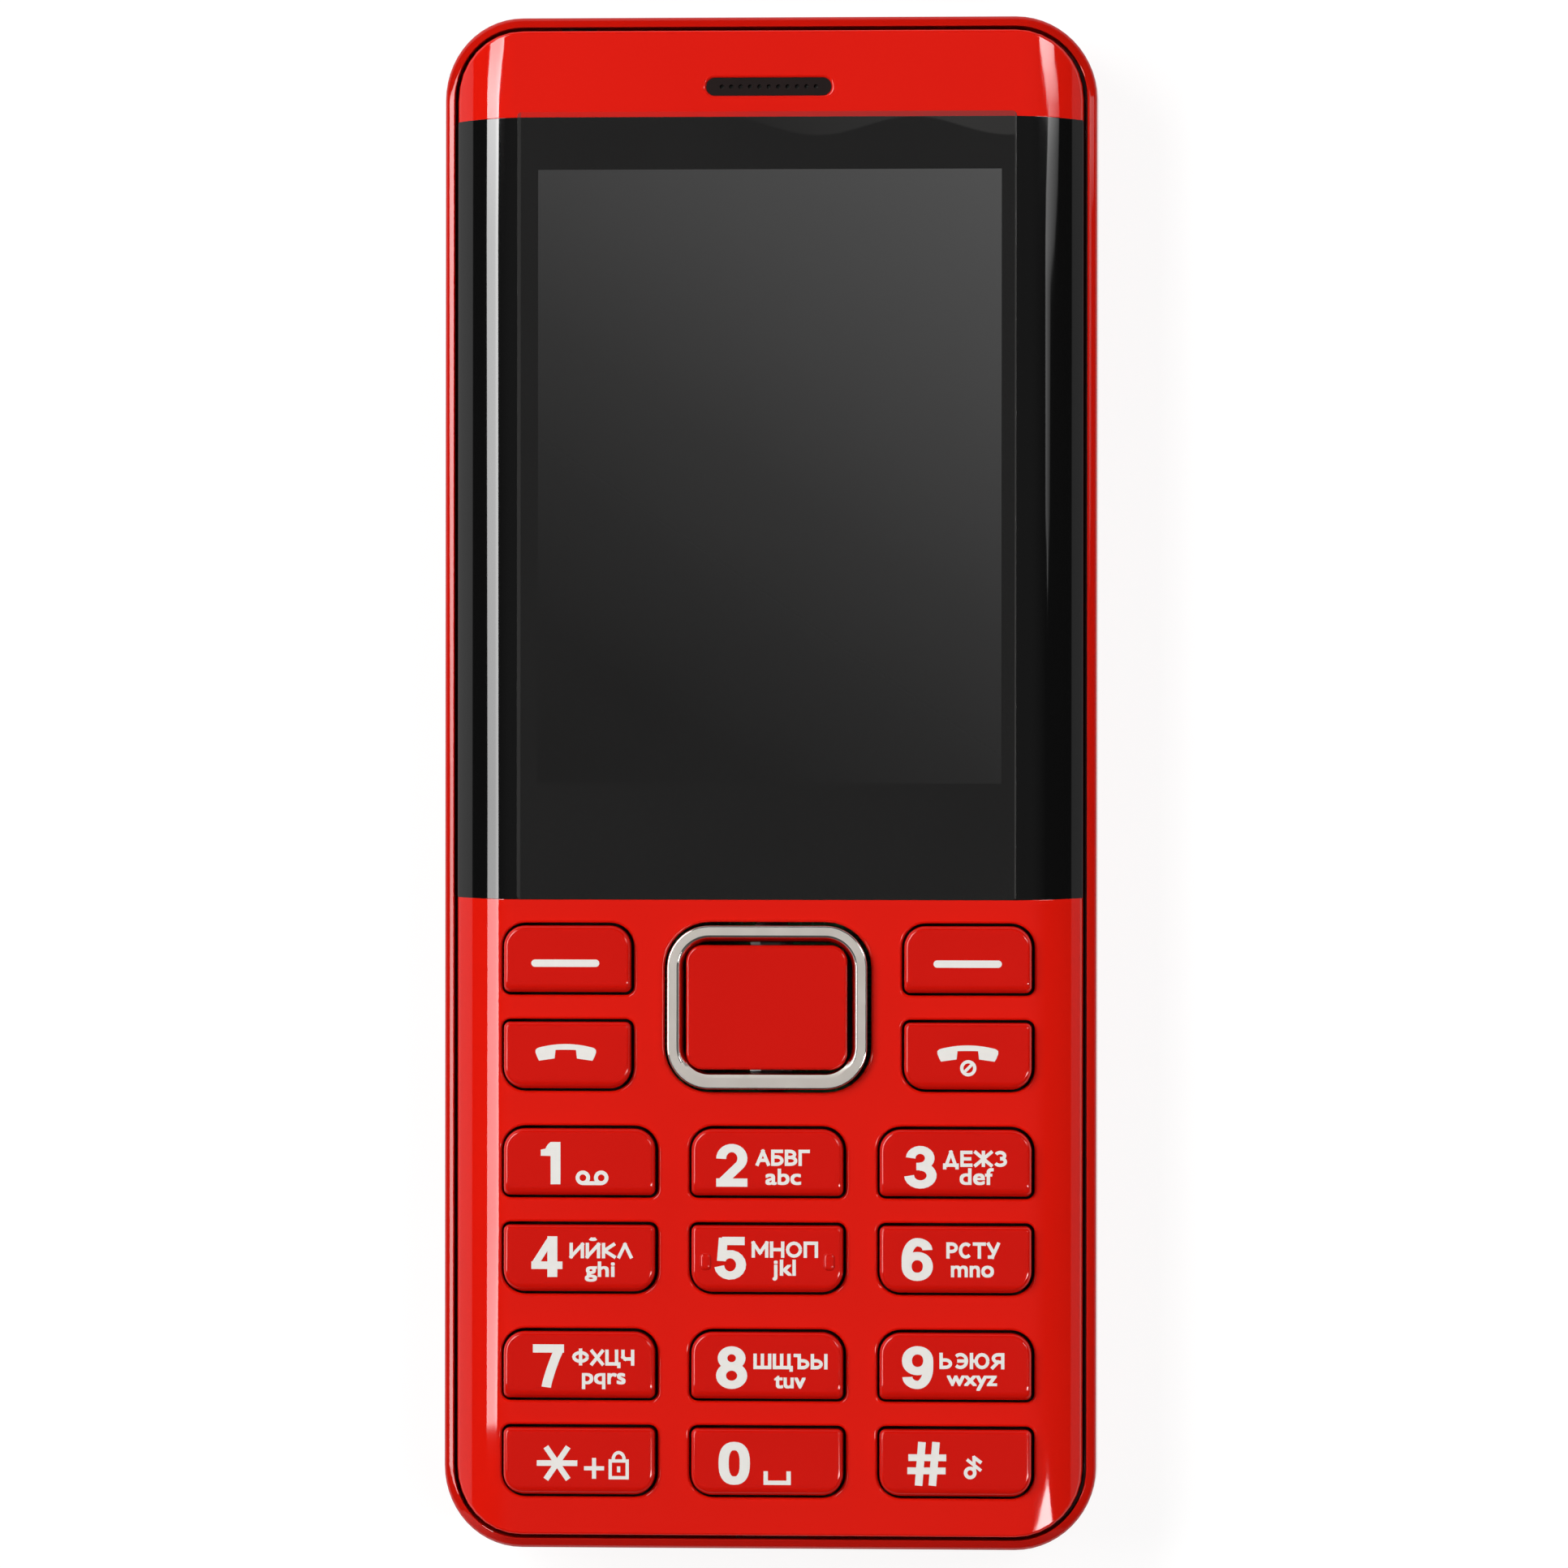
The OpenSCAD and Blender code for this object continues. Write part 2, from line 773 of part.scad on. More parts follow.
module ok_key() {
    top = front_z + ok_proud;
    color("firebrick")
        translate([0, nav_y, 0]) {
            bevelled(ok_w, ok_l, ok_z, top, key_bevel, key_bevel_h)
                round_block(ok_w, ok_l, ok_r, ok_z, top - ok_z);
            translate([0, 0, stem_z])
                cylinder(r = stem_r, h = ok_z - stem_z + glue);
        }
}

module key_1() {
    number_key(-1, 0);
}

module key_2() {
    number_key(0, 0);
}

module key_3() {
    number_key(1, 0);
}

module key_4() {
    number_key(-1, 1);
}

module key_5() {
    number_key(0, 1);
}

module key_6() {
    number_key(1, 1);
}

module key_7() {
    number_key(-1, 2);
}

module key_8() {
    number_key(0, 2);
}

module key_9() {
    number_key(1, 2);
}

module key_star() {
    number_key(-1, 3);
}

module key_0() {
    number_key(0, 3);
}

module key_hash() {
    number_key(1, 3);
}

// Box for a part on the rear of the board, let into the chassis plate
module rear_cut(x, y, w, l, z) {
    translate([x - w / 2 - slack, y - l / 2 - slack, z])
        cube([w + 2 * slack, l + 2 * slack, board_z - z]);
}

// Chassis: rim, skirt, plate, battery ribs and motor cradle
module rear_housing() {
    rib_w = battery_w + 2 * (slack + rib_t);
    rib_l = battery_l + 2 * (slack + rib_t);
    cradle_w = 3;
    color("red")
        difference() {
            union() {
                difference() {
                    intersection() {
                        round_block(body_w, body_l, body_r, part_z, front_z - part_z);
                        under_front(rim_drop);
                        under_ends(front_z - rim_drop, rim_end_r);
                    }
                    round_block(panel_w + 2 * groove, panel_l + 2 * groove, panel_r + groove, board_z,
                        front_z);
                    round_block(room_w, room_l, board_r, plate_top, front_z);
                    round_block(bay_w, bay_l, bay_r, 0, plate_z);
                }
                translate([0, battery_y, 0])
                    difference() {
                        round_block(rib_w, rib_l, cut, battery_z, plate_z - battery_z);
                        round_block(rib_w - 2 * rib_t, rib_l - 2 * rib_t, small_r, 0, plate_z);
                    }
                translate([motor_x - motor_l / 2 + rib_t, motor_y - cradle_w / 2, motor_z])
                    cube([motor_l - 2 * rib_t, cradle_w, plate_z - motor_z]);
            }
            translate([motor_x - motor_l / 2, motor_y, motor_z])
                rotate([0, 90, 0])
                    cylinder(r = motor_r + glue, h = motor_l);
            for (p = screw_places)
                translate([p[0], p[1], 0])
                    cylinder(r = screw_r + fit, h = front_z);
            for (s = [-1, 1])
                rear_cut(s * sim_x, sim_y, sim_w, sim_l, plate_z - cut);
            rear_cut(memory_x, memory_y, memory_w, memory_l, plate_z - cut);
            rear_cut(0, battery_top_y + contact_l / 2 + fit, contact_w, contact_l, battery_z - cut);
            translate([-usb_w / 2 - fit, -body_l / 2 - cut, usb_z - fit])
                cube([usb_w + 2 * fit, usb_l + small_r + cut + fit, usb_h + 2 * fit]);
            translate([-jack_x - jack_w / 2 - slack, jack_end_y - jack_l - slack, part_z - cut])
                cube([jack_w + 2 * slack, jack_l + slack + fit, front_z]);
            along_y(-jack_x, jack_z, jack_nose_r + fit, jack_end_y - cut, body_l / 2 + cut);
            translate([mic_x, mic_y, plate_z - cut])
                cylinder(r = mic_r + slack, h = front_z);
            along_y(mic_x, board_z - mic_h / 2, mic_hole_r, -body_l / 2 - cut, mic_y);
        }
}

// Battery cover with its tongue, sound slots and the seats of the camera window and the torch lens
module rear_cover() {
    slots = 7;
    slot_pitch = 1.5;
    slot_w = 0.7;
    slot_l = 8;
    tongue_w = bay_w - 2 * cover_gap;
    tongue_l = bay_l - 2 * cover_gap;
    tongue_r = bay_r - cover_gap;
    color("red")
        difference() {
            union() {
                intersection() {
                    round_block(body_w, body_l, body_r, 0, cover_h);
                    cover_edges();
                }
                round_block(tongue_w, tongue_l, tongue_r, cover_h - cut, cut + tongue_h);
            }
            round_block(tongue_w - 2 * tongue_t, tongue_l - 2 * tongue_t, tongue_r - tongue_t, cover_t,
                front_z);
            translate([0, camera_y, -cut])
                cylinder(r = camera_window_r - small_r, h = cover_t + 2 * cut);
            translate([0, camera_y, -cut])
                cylinder(r = camera_window_r + glue, h = cut + cover_t / 2);
            translate([torch_x, camera_y, -cut])
                cylinder(r = torch_r + glue, h = cover_t + 2 * cut);
            translate([-jack_x - jack_w / 2 - slack, tongue_l / 2 - tongue_t - cut, cover_h])
                cube([jack_w + 2 * slack, tongue_t + 2 * cut, tongue_h + cut]);
            for (i = [0:slots - 1])
                translate([speaker_x + (i - (slots - 1) / 2) * slot_pitch, tail_y, -cut])
                    rotate([0, 0, 90])
                        slot_block(slot_l, slot_w, 0, cover_t + 2 * cut);
        }
}

// The cover's round rear edges along the two sides and the two ends
module cover_edges() {
    translate([0, 0, cover_h])
        mirror([0, 0, 1])
            intersection() {
                under_ends(cover_h, cover_edge_r);
                rotate([90, 0, 0])
                    linear_extrude(body_l + 2 * cut, center = true) {
                        translate([-body_w / 2 + cover_edge_r, 0])
                            square([body_w - 2 * cover_edge_r, cover_h]);
                        translate([-body_w / 2, 0])
                            square([body_w, cover_h - cover_edge_r]);
                        for (s = [-1, 1])
                            translate([s * (body_w / 2 - cover_edge_r), cover_h - cover_edge_r])
                                circle(cover_edge_r);
                    }
            }
}

module camera_window() {
    color("black")
        translate([0, camera_y, fit])
            cylinder(r = camera_window_r, h = cover_t / 2 - fit);
}

module torch_lens() {
    color("white")
        translate([torch_x, camera_y, fit])
            cylinder(r = torch_r, h = cover_t - fit);
}

// Camera with its barrel pointing out of the rear
module camera_module() {
    barrel_h = 1.4;
    barrel_r = camera_window_r - cut;
    lens_r = 1.2;
    color("black")
        translate([0, camera_y, 0]) {
            round_block(camera_w, camera_w, small_r, camera_z + barrel_h, plate_z - camera_z - barrel_h);
            difference() {
                translate([0, 0, camera_z])
                    cylinder(r = barrel_r, h = barrel_h);
                cylinder(r = lens_r, h = camera_z + barrel_h / 2);
            }
        }
}

// Torch diode on its small post under the lens
module torch_led() {
    post_w = 4;
    bulb_r = torch_r - fit;
    color("lightyellow")
        translate([torch_x, camera_y, 0]) {
            round_block(post_w, post_w, small_r, camera_z + bulb_r, plate_z - camera_z - bulb_r);
            translate([0, 0, camera_z + bulb_r])
                sphere(bulb_r);
        }
}

module loudspeaker() {
    cone_r = speaker_l / 2 - 2 * cut;
    rim_t = 0.6;
    color("black")
        translate([speaker_x, tail_y, 0])
            difference() {
                round_block(speaker_w, speaker_l, cut, plate_z - speaker_t, speaker_t);
                translate([0, 0, plate_z - speaker_t - cut])
                    cylinder(r = cone_r, h = cut + rim_t);
            }
}

// Plastic block that carries the antenna's metal strip
module antenna() {
    strip_t = 0.2;
    carrier_t = 3;
    x = -usb_w / 2 - rib_t - antenna_w / 2;
    color("tan")
        translate([x, tail_y, 0]) {
            round_block(antenna_w, antenna_l, cut, plate_z - carrier_t, carrier_t);
            round_block(antenna_w - 2 * cut, antenna_l / 2, small_r, plate_z - carrier_t - strip_t, strip_t);
        }
}

// Motor can with its shaft, along X
module vibration_motor() {
    color("silver")
        translate([motor_x, motor_y, motor_z])
            rotate([0, 90, 0]) {
                translate([0, 0, -motor_l / 2])
                    cylinder(r = motor_r, h = motor_l);
                cylinder(r = shaft_r, h = motor_l / 2 + slack + weight_l + slack);
            }
}

// Half-round weight on the motor's shaft
module eccentric_weight() {
    hub_r = shaft_r + 2 * slack;
    color("dimgray")
        translate([motor_x + motor_l / 2 + slack, motor_y, motor_z])
            rotate([0, 90, 0])
                difference() {
                    union() {
                        cylinder(r = hub_r, h = weight_l);
                        intersection() {
                            cylinder(r = weight_r, h = weight_l);
                            translate([0, -weight_r - cut, -cut])
                                cube([weight_r + cut, 2 * (weight_r + cut), weight_l + 2 * cut]);
                        }
                    }
                    translate([0, 0, -cut])
                        cylinder(r = shaft_r + glue, h = weight_l + 2 * cut);
                }
}

module microphone() {
    color("silver")
        translate([mic_x, mic_y, board_z - mic_h])
            cylinder(r = mic_r, h = mic_h);
}

// Metal shell of the charging socket with its tongue
module usb_socket() {
    shell = 0.3;
    tongue = 0.6;
    mouth_w = usb_w - 2 * shell;
    tongue_side = 1.2;
    color("silver")
        translate([0, usb_y, usb_z]) {
            difference() {
                translate([-usb_w / 2, -usb_l / 2, 0])
                    cube([usb_w, usb_l, usb_h]);
                translate([-mouth_w / 2, -usb_l / 2 - cut, shell])
                    cube([mouth_w, usb_l - shell + cut, usb_h - 2 * shell]);
            }
            translate([-mouth_w / 2 + tongue_side, -usb_l / 2 + 2 * shell, usb_h / 2 - tongue / 2])
                cube([mouth_w - 2 * tongue_side, usb_l - 2 * shell - shell / 2, tongue]);
        }
}

// Headphone socket: a block in the chassis and a nose through the top wall, bored along the phone
module headphone_socket() {
    color("dimgray")
        difference() {
            union() {
                translate([-jack_x - jack_w / 2, jack_end_y - jack_l, jack_z - jack_h / 2])
                    cube([jack_w, jack_l, jack_h]);
                along_y(-jack_x, jack_z, jack_nose_r, jack_end_y - cut, jack_mouth_y);
            }
            along_y(-jack_x, jack_z, jack_r, jack_mouth_y - jack_depth, jack_mouth_y + cut);
        }
}

// Metal cage of a card holder, open towards the battery
module card_holder(x, y, w, l) {
    sheet = 0.4;
    translate([x, y, board_z - holder_h])
        difference() {
            translate([-w / 2, -l / 2, 0])
                cube([w, l, holder_h]);
            translate([-w / 2 + sheet, -l / 2 - cut, sheet])
                cube([w - 2 * sheet, l + cut - sheet, cut]);
        }
}

module sim_holders() {
    color("silver")
        for (s = [-1, 1])
            card_holder(s * sim_x, sim_y, sim_w, sim_l);
}

module memory_holder() {
    color("silver")
        card_holder(memory_x, memory_y, memory_w, memory_l);
}

// Contact block on the board with its spring blades against the battery
module battery_contacts() {
    blades = 3;
    blade_w = 1.2;
    blade_pitch = 2.6;
    y = battery_top_y + fit;
    z = battery_z + rib_t;
    color("gold") {
        translate([-contact_w / 2, y, z])
            cube([contact_w, contact_l, board_z - z]);
        for (i = [0:blades - 1])
            translate([(i - (blades - 1) / 2) * blade_pitch - blade_w / 2, battery_top_y, z + cut])
                cube([blade_w, fit, 2 * cut]);
    }
}

module battery() {
    color("darkslategray")
        translate([0, battery_y, 0])
            round_block(battery_w, battery_l, cut, battery_z, battery_t);
}

module housing_screws() {
    color("silver")
        for (p = screw_places)
            translate([p[0], p[1], plate_z]) {
                cylinder(r = screw_r, h = screw_l);
                translate([0, 0, -screw_head_h])
                    cylinder(r = screw_head_r, h = screw_head_h);
            }
}

front_housing();
screen_window();
screen_film();
earpiece_grille();
earpiece_receiver();
display_module();
display_gasket();
display_flex();
main_board();
shield_cans();
key_domes();
keypad_mat();
softkey_left();
softkey_right();
call_key();
end_key();
nav_ring();
nav_rocker();
ok_key();
key_1();
key_2();
key_3();
key_4();
key_5();
key_6();
key_7();
key_8();
key_9();
key_star();
key_0();
key_hash();
rear_housing();
rear_cover();
camera_window();
torch_lens();
camera_module();
torch_led();
loudspeaker();
antenna();
vibration_motor();
eccentric_weight();
microphone();
usb_socket();
headphone_socket();
sim_holders();
memory_holder();
battery_contacts();
battery();
housing_screws();
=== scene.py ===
import bmesh
import bpy
import numpy as np
from mathutils import Matrix, Vector
from mathutils.geometry import delaunay_2d_cdt


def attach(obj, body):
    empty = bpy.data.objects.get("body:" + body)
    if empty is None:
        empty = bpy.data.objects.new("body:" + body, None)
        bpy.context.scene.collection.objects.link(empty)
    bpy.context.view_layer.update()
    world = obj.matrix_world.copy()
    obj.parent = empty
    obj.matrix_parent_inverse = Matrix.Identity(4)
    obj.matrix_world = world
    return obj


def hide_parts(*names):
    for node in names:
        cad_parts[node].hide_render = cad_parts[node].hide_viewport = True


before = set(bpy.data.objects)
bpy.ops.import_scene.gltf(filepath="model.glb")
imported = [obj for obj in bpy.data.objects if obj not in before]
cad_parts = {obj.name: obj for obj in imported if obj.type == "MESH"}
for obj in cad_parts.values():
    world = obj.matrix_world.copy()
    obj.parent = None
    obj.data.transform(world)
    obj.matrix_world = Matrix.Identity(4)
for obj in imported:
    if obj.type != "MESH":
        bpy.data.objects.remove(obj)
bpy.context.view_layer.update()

# Chassis: the red tray that carries everything, injection moulded in high-gloss plastic.
# Its wall bellies in towards the back and ends at the front in a rounded lip, which stands round
# the front panel with a narrow dark groove between; the sockets open through its two ends.
MM = 0.001
BODY_W, BODY_L, BODY_R = 60.5, 141.55, 7.45
PANEL_W, PANEL_L, PANEL_R = 58.0, 139.05, 6.2
FRONT_Z, FLAT_HALF, ROLL_R = 14.4, 23.4, 8.0


def front_height(x):
    """Height of the front over the table: flat in the middle, then part of a circle down each long side."""
    past = np.clip(np.abs(x) - FLAT_HALF, 0, ROLL_R)
    return FRONT_Z - ROLL_R + np.sqrt(ROLL_R**2 - past**2)


def rounded_outline(w, l, radii, arc=14, run=(3, 3)):
    """Rounded rectangle, counter-clockwise: four quarter circles of their own radii from the upper right
    corner on, each followed by evenly spaced points along the side to the next corner."""
    r = np.maximum(np.broadcast_to(np.asarray(radii, float), 4), 0.01)
    centre = np.array([[1, 1], [-1, 1], [-1, -1], [1, -1]]) * (np.array([w, l]) / 2 - r[:, None])
    turn = np.arange(4)[:, None] * np.pi / 2 + np.linspace(0, np.pi / 2, arc + 1)
    arcs = centre[:, None] + r[:, None, None] * np.stack([np.cos(turn), np.sin(turn)], -1)
    steps = [np.linspace(0, 1, run[k % 2] + 2)[1:-1, None] for k in range(4)]
    runs = [arcs[k, -1] * (1 - t) + arcs[(k + 1) % 4, 0] * t for k, t in enumerate(steps)]
    return np.concatenate([part for pair in zip(arcs, runs) for part in pair])


def lofted(w, l, radii, insets, heights, centre=(0, 0), **spacing):
    """Stack of outlines: each is the rounded rectangle drawn in by its inset and lifted to its height,
    where a height is one number or one for every point of the outline."""
    loops = [rounded_outline(w - 2 * d, l - 2 * d, np.asarray(radii, float) - d, **spacing) for d in insets]
    flat = np.stack(loops) + np.asarray(centre, float)
    lift = np.stack([np.broadcast_to(h, flat.shape[1]) for h in heights])
    return np.concatenate([flat, lift[..., None]], -1)


def loop_faces(rows, across, ring=False, round_trip=True):
    """Quads that join each row of points to the next; ring also joins the last row to the first."""
    r = np.arange(rows if ring else rows - 1)[:, None] * across
    c = np.arange(across if round_trip else across - 1)
    nxt, up = (c + 1) % across, (r + across) % (rows * across)
    return np.stack([r + c, r + nxt, up + nxt, up + c], -1).reshape(-1, 4).tolist()


def srgb(code):
    """Linear colour of a hex code as it is seen on a screen."""
    c = np.array([int(code[i:i + 2], 16) for i in (0, 2, 4)]) / 255
    return (*np.where(c <= 0.04045, c / 12.92, ((c + 0.055) / 1.055) ** 2.4).tolist(), 1.0)


def add(tree, kind, inputs, **options):
    """Adds one shader node and gives its outputs: options are the node's own settings, inputs are numbers
    or other nodes' outputs."""
    made = tree.nodes.new("ShaderNode" + kind)
    for option, value in options.items():
        setattr(made, option, value)
    for socket, value in inputs.items():
        if isinstance(value, bpy.types.NodeSocket):
            tree.links.new(value, made.inputs[socket])
        else:
            made.inputs[socket].default_value = value
    return made.outputs


def reckon(tree, operation, *numbers):
    """Number worked out from others by one step of arithmetic."""
    return add(tree, "Math", dict(enumerate(numbers)), operation=operation)[0]


def remap(tree, value, start, end, low=0.0, high=1.0, clamp=True):
    """Number that runs from low to high while another one runs from start to end."""
    spans = {"Value": value, "From Min": start, "From Max": end, "To Min": low, "To Max": high}
    return add(tree, "MapRange", spans, clamp=clamp)[0]


def ramp(tree, value, stops):
    """Colour that follows a number from 0 to 1 through a row of stops (place, colour)."""
    colour = add(tree, "ValToRGB", {"Fac": value})[0]
    row = colour.node.color_ramp.elements
    for k, (at, code) in enumerate(stops):
        stop = row[k] if k < 2 else row.new(at)
        stop.position, stop.color = at, srgb(code)
    return colour


def surface(name, low, high, patch, rough, grain, relief, metal=0.0, stretch=(1, 1, 1), shine=0.5):
    """Finish whose tone wanders between two close colours over patches of so many mm, whose roughness
    wanders with it, and whose fine relief has grains of so many mm and a height in mm; shine is the
    strength of its gloss."""
    material = bpy.data.materials.new(name)
    material.use_nodes = True
    tree = material.node_tree
    shader = tree.nodes["Principled BSDF"]
    place = add(tree, "TexCoord", {})["Object"]
    drift = add(tree, "TexNoise", {"Vector": place, "Scale": 1 / (patch * MM), "Detail": 3.0})[0]
    tone = add(tree, "Mix", {0: drift, 6: srgb(low), 7: srgb(high)}, data_type="RGBA")[2]
    gloss = remap(tree, drift, 0, 1, *rough)
    laid = add(tree, "Mapping", {"Vector": place, "Scale": stretch})[0]
    grains = add(tree, "TexNoise", {"Vector": laid, "Scale": 1 / (grain * MM), "Detail": 2.0})[0]
    bump = add(tree, "Bump", {"Height": grains, "Strength": 1.0, "Distance": relief * MM})[0]
    for socket, value in (("Base Color", tone), ("Roughness", gloss), ("Normal", bump)):
        tree.links.new(value, shader.inputs[socket])
    shader.inputs["Metallic"].default_value = metal
    shader.inputs["Specular IOR Level"].default_value = shine
    return material, tree, shader, place


def linked(name, data):
    """Object in the scene that shows a mesh, a curve or a camera."""
    made = bpy.data.objects.new(name, data)
    bpy.context.scene.collection.objects.link(made)
    return made


def shade(mesh, sharp=32):
    """Shades a mesh smooth but for edges that turn by more than so many degrees."""
    mesh.shade_smooth()
    mesh.set_sharp_from_angle(angle=np.radians(sharp))


def add_mesh(name, points, faces, material, sharp=32):
    """Object of points in mm and faces, shaded smooth but for its sharp edges."""
    mesh = bpy.data.meshes.new(name)
    mesh.from_pydata((np.asarray(points).reshape(-1, 3) * MM).tolist(), [], faces)
    shade(mesh, sharp)
    mesh.materials.append(material)
    return linked(name, mesh)


def add_loft(name, rows, material, sharp=32):
    """Solid between the outlines of a stack, closed by a flat face on the first and on the last of them."""
    n = rows.shape[1]
    ends = [list(range(n))[::-1], list(range((len(rows) - 1) * n, len(rows) * n))]
    return add_mesh(name, rows, loop_faces(*rows.shape[:2]) + ends, material, sharp)


def read_points(mesh):
    """Points of a mesh as rows of three numbers, in the mesh's own unit."""
    points = np.empty(len(mesh.vertices) * 3)
    mesh.vertices.foreach_get("co", points)
    return points.reshape(-1, 3)


def weld(mesh, gap):
    """Joins points of a mesh that lie closer together than a gap in metres."""
    work = bmesh.new()
    work.from_mesh(mesh)
    bmesh.ops.remove_doubles(work, verts=work.verts, dist=gap)
    work.to_mesh(mesh)
    work.free()


def fit(piece, body, slot, *nodes):
    """Puts a piece on its body and, where it stands for CAD nodes, hides those; the slot, a finish's name, is
    not used.
    """
    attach(piece, body)
    if nodes:
        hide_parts(*nodes)


def cut_out(piece, *cutters):
    """Takes the cutters' solids out of a piece and keeps the result as its mesh."""
    for cutter in cutters:
        tool = piece.modifiers.new("opening", "BOOLEAN")
        tool.object = cutter
        tool.solver = "EXACT"
    graph = bpy.context.evaluated_depsgraph_get()
    mesh = bpy.data.meshes.new_from_object(piece.evaluated_get(graph), depsgraph=graph)
    piece.modifiers.clear()
    piece.data = mesh
    shade(mesh)
    for cutter in cutters:
        bpy.data.objects.remove(cutter)


def end_cutter(x, z, w, h, r, y0, y1):
    """Rounded bar along Y between two places, the solid of an opening in an end wall."""
    loop = rounded_outline(w, h, r, arc=10, run=(1, 1))
    return add_loft("cutter", np.stack([np.insert(loop + (x, z), 1, y, 1) for y in (y1, y0)]), deep_red)


# The moulded plastic is a shade deeper than the front's, with a faint drift of tone and a wavy gloss.
deep_red = surface("deep red gloss plastic", "BA0F05", "C01306", 22, (0.015, 0.03), 4.0, 0.0012, shine=0.4)[0]

# The lip's section changes on the way round: nearly flat with a round outer edge along the sides, and
# sloping down at 30 degrees at the upper end and at 38 degrees at the lower one.
WALL_FOOT, BELLY_TOP, LEDGE_Z = 4.4, 7.5, 8.8
LIP_R, LIP_W, LIP_BELOW, SLOPE_UPPER, SLOPE_LOWER = 0.45, 0.88, 0.3, 0.58, 0.78
beside = lofted(PANEL_W, PANEL_L, PANEL_R, [0], [0])[0]
lip = front_height(beside[:, 0]) - LIP_BELOW
at_end = np.clip((np.abs(beside[:, 1]) - PANEL_L / 2 + PANEL_R) / PANEL_R, 0, 1) ** 2
belly = np.linspace(4.62, BELLY_TOP, 7)
swing = np.radians(np.linspace(0, 72, 8))
lip_in = np.append(LIP_R * (1 - np.cos(swing)), [0.62, 0.78, 0.84, LIP_W, 0.90])
side_drop = np.append(-0.617 + LIP_R * np.sin(swing), [-0.089, -0.037, -0.03, -0.06, -0.13])
fall = np.where(beside[:, 1] > 0, SLOPE_UPPER, SLOPE_LOWER)
end_drop = -0.14 * np.clip(1 - lip_in / 0.25, 0, 1) ** 2
end_drop[-2:] -= (0.03, 0.1)
lip_z = [lip + a * (1 - at_end) + (b - fall * (LIP_W - d)) * at_end
         for a, b, d in zip(side_drop, end_drop, lip_in)]
wall_in = np.concatenate([[0.42, 0.33, 0.28], 0.03 * (BELLY_TOP - belly) ** 2, lip_in, [0.90, 1.0, 1.7, 1.7]])
wall_z = [WALL_FOOT, 4.43, 4.52] + belly.tolist() + lip_z + [LEDGE_Z + 0.1, LEDGE_Z, LEDGE_Z, WALL_FOOT]
wall = lofted(BODY_W, BODY_L, BODY_R, wall_in, wall_z)
chassis_wall = add_mesh("chassis_wall", wall, loop_faces(*wall.shape[:2], ring=True), deep_red)
cut_out(chassis_wall, end_cutter(-18, 7.1, 4.7, 4.7, 2.35, 68, 72),
        end_cutter(0, 7.4, 7.9, 3.0, 1.1, -72, -68), end_cutter(9.75, 8.1, 1.0, 1.0, 0.5, -72, -68))
fit(chassis_wall, "chassis", "red_shell")


def skin_depth(flat):
    """Depth of points under the body's outline in mm, and the outward direction there."""
    q = np.abs(flat) - (np.array([BODY_W, BODY_L]) / 2 - BODY_R)
    corner = np.maximum(q, 0)
    reach = np.hypot(corner[:, 0], corner[:, 1])
    side = np.where((q[:, :1] > q[:, 1:]), [1.0, 0.0], [0.0, 1.0])
    out = np.where(reach[:, None] > 1e-6, corner / np.maximum(reach, 1e-6)[:, None], side)
    return BODY_R - reach - np.minimum(q.max(1), 0), out * np.where(flat < 0, -1, 1)


# The tray inside keeps the CAD form; only its outer skin is drawn back into the bellied wall, and pressed
# together there above and below so far that nothing of it shows.
SKIN_T, SKIN_IN, SKIN_SHARE, PRESSED, TRAY_SHARP = 0.95, 1.2, 0.95, 0.98, 4
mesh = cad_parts["rear_housing"].data.copy()
mesh.name = "chassis_tray"
weld(mesh, 1e-7)
points = read_points(mesh) / MM
depth, out = skin_depth(points[:, :2])
outer = depth < SKIN_T
points[outer, :2] -= (out * (SKIN_IN - SKIN_SHARE * depth)[:, None])[outer]
past = points[outer, 2] - np.clip(points[outer, 2], 4.6, 8.6)
points[outer, 2] -= PRESSED * past
mesh.vertices.foreach_set("co", (points * MM).ravel())
mesh.update()
shade(mesh, TRAY_SHARP)
mesh.materials.clear()
mesh.materials.append(deep_red)
fit(linked("chassis_tray", mesh), "chassis", "red_shell", "rear_housing")

# Fittings inside the tray: stamped and plated parts, the board and the battery, soldered, glued or
# laid in place. They show when the cover is off, and some of them through their own openings.


def dress(finish, *nodes):
    """Gives CAD nodes that are shown as they are a finish of their own."""
    for node in nodes:
        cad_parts[node].material_slots[0].material = finish


FITTINGS = (
    (("bright stamped steel", "9C9B98", "B4B3AF", 3, (0.22, 0.36), 0.2, 0.0006, 1.0, (1, 12, 1)),
     "earpiece_receiver", "shield_cans", "key_domes", "vibration_motor", "microphone", "usb_socket",
     "sim_holders", "memory_holder", "housing_screws"),
    (("fine-grained black plastic", "1B1414", "241B1A", 4, (0.38, 0.5), 0.15, 0.002),
     "nav_rocker", "camera_module", "loudspeaker", "headphone_socket"),
    (("sintered tungsten", "4A4A4C", "58585A", 0.8, (0.45, 0.6), 0.12, 0.004, 1.0), "eccentric_weight"),
    (("gold flashed spring", "D9A948", "E6BE63", 1.5, (0.18, 0.3), 0.2, 0.0008, 1.0), "battery_contacts"),
    (("plated antenna strip", "C79A5A", "D8B072", 2, (0.25, 0.38), 0.3, 0.001, 1.0), "antenna"),
    (("yellow diode resin", "E8C948", "F2DB78", 0.7, (0.15, 0.25), 0.3, 0.002), "torch_led"),
    (("polyimide ribbon", "B06A1C", "C98434", 2, (0.28, 0.4), 0.4, 0.001, 0.0, (1, 0.1, 1)), "display_flex"),
    (("black cell foam", "121212", "1F1F1F", 0.5, (0.85, 0.95), 0.12, 0.03), "display_gasket"))
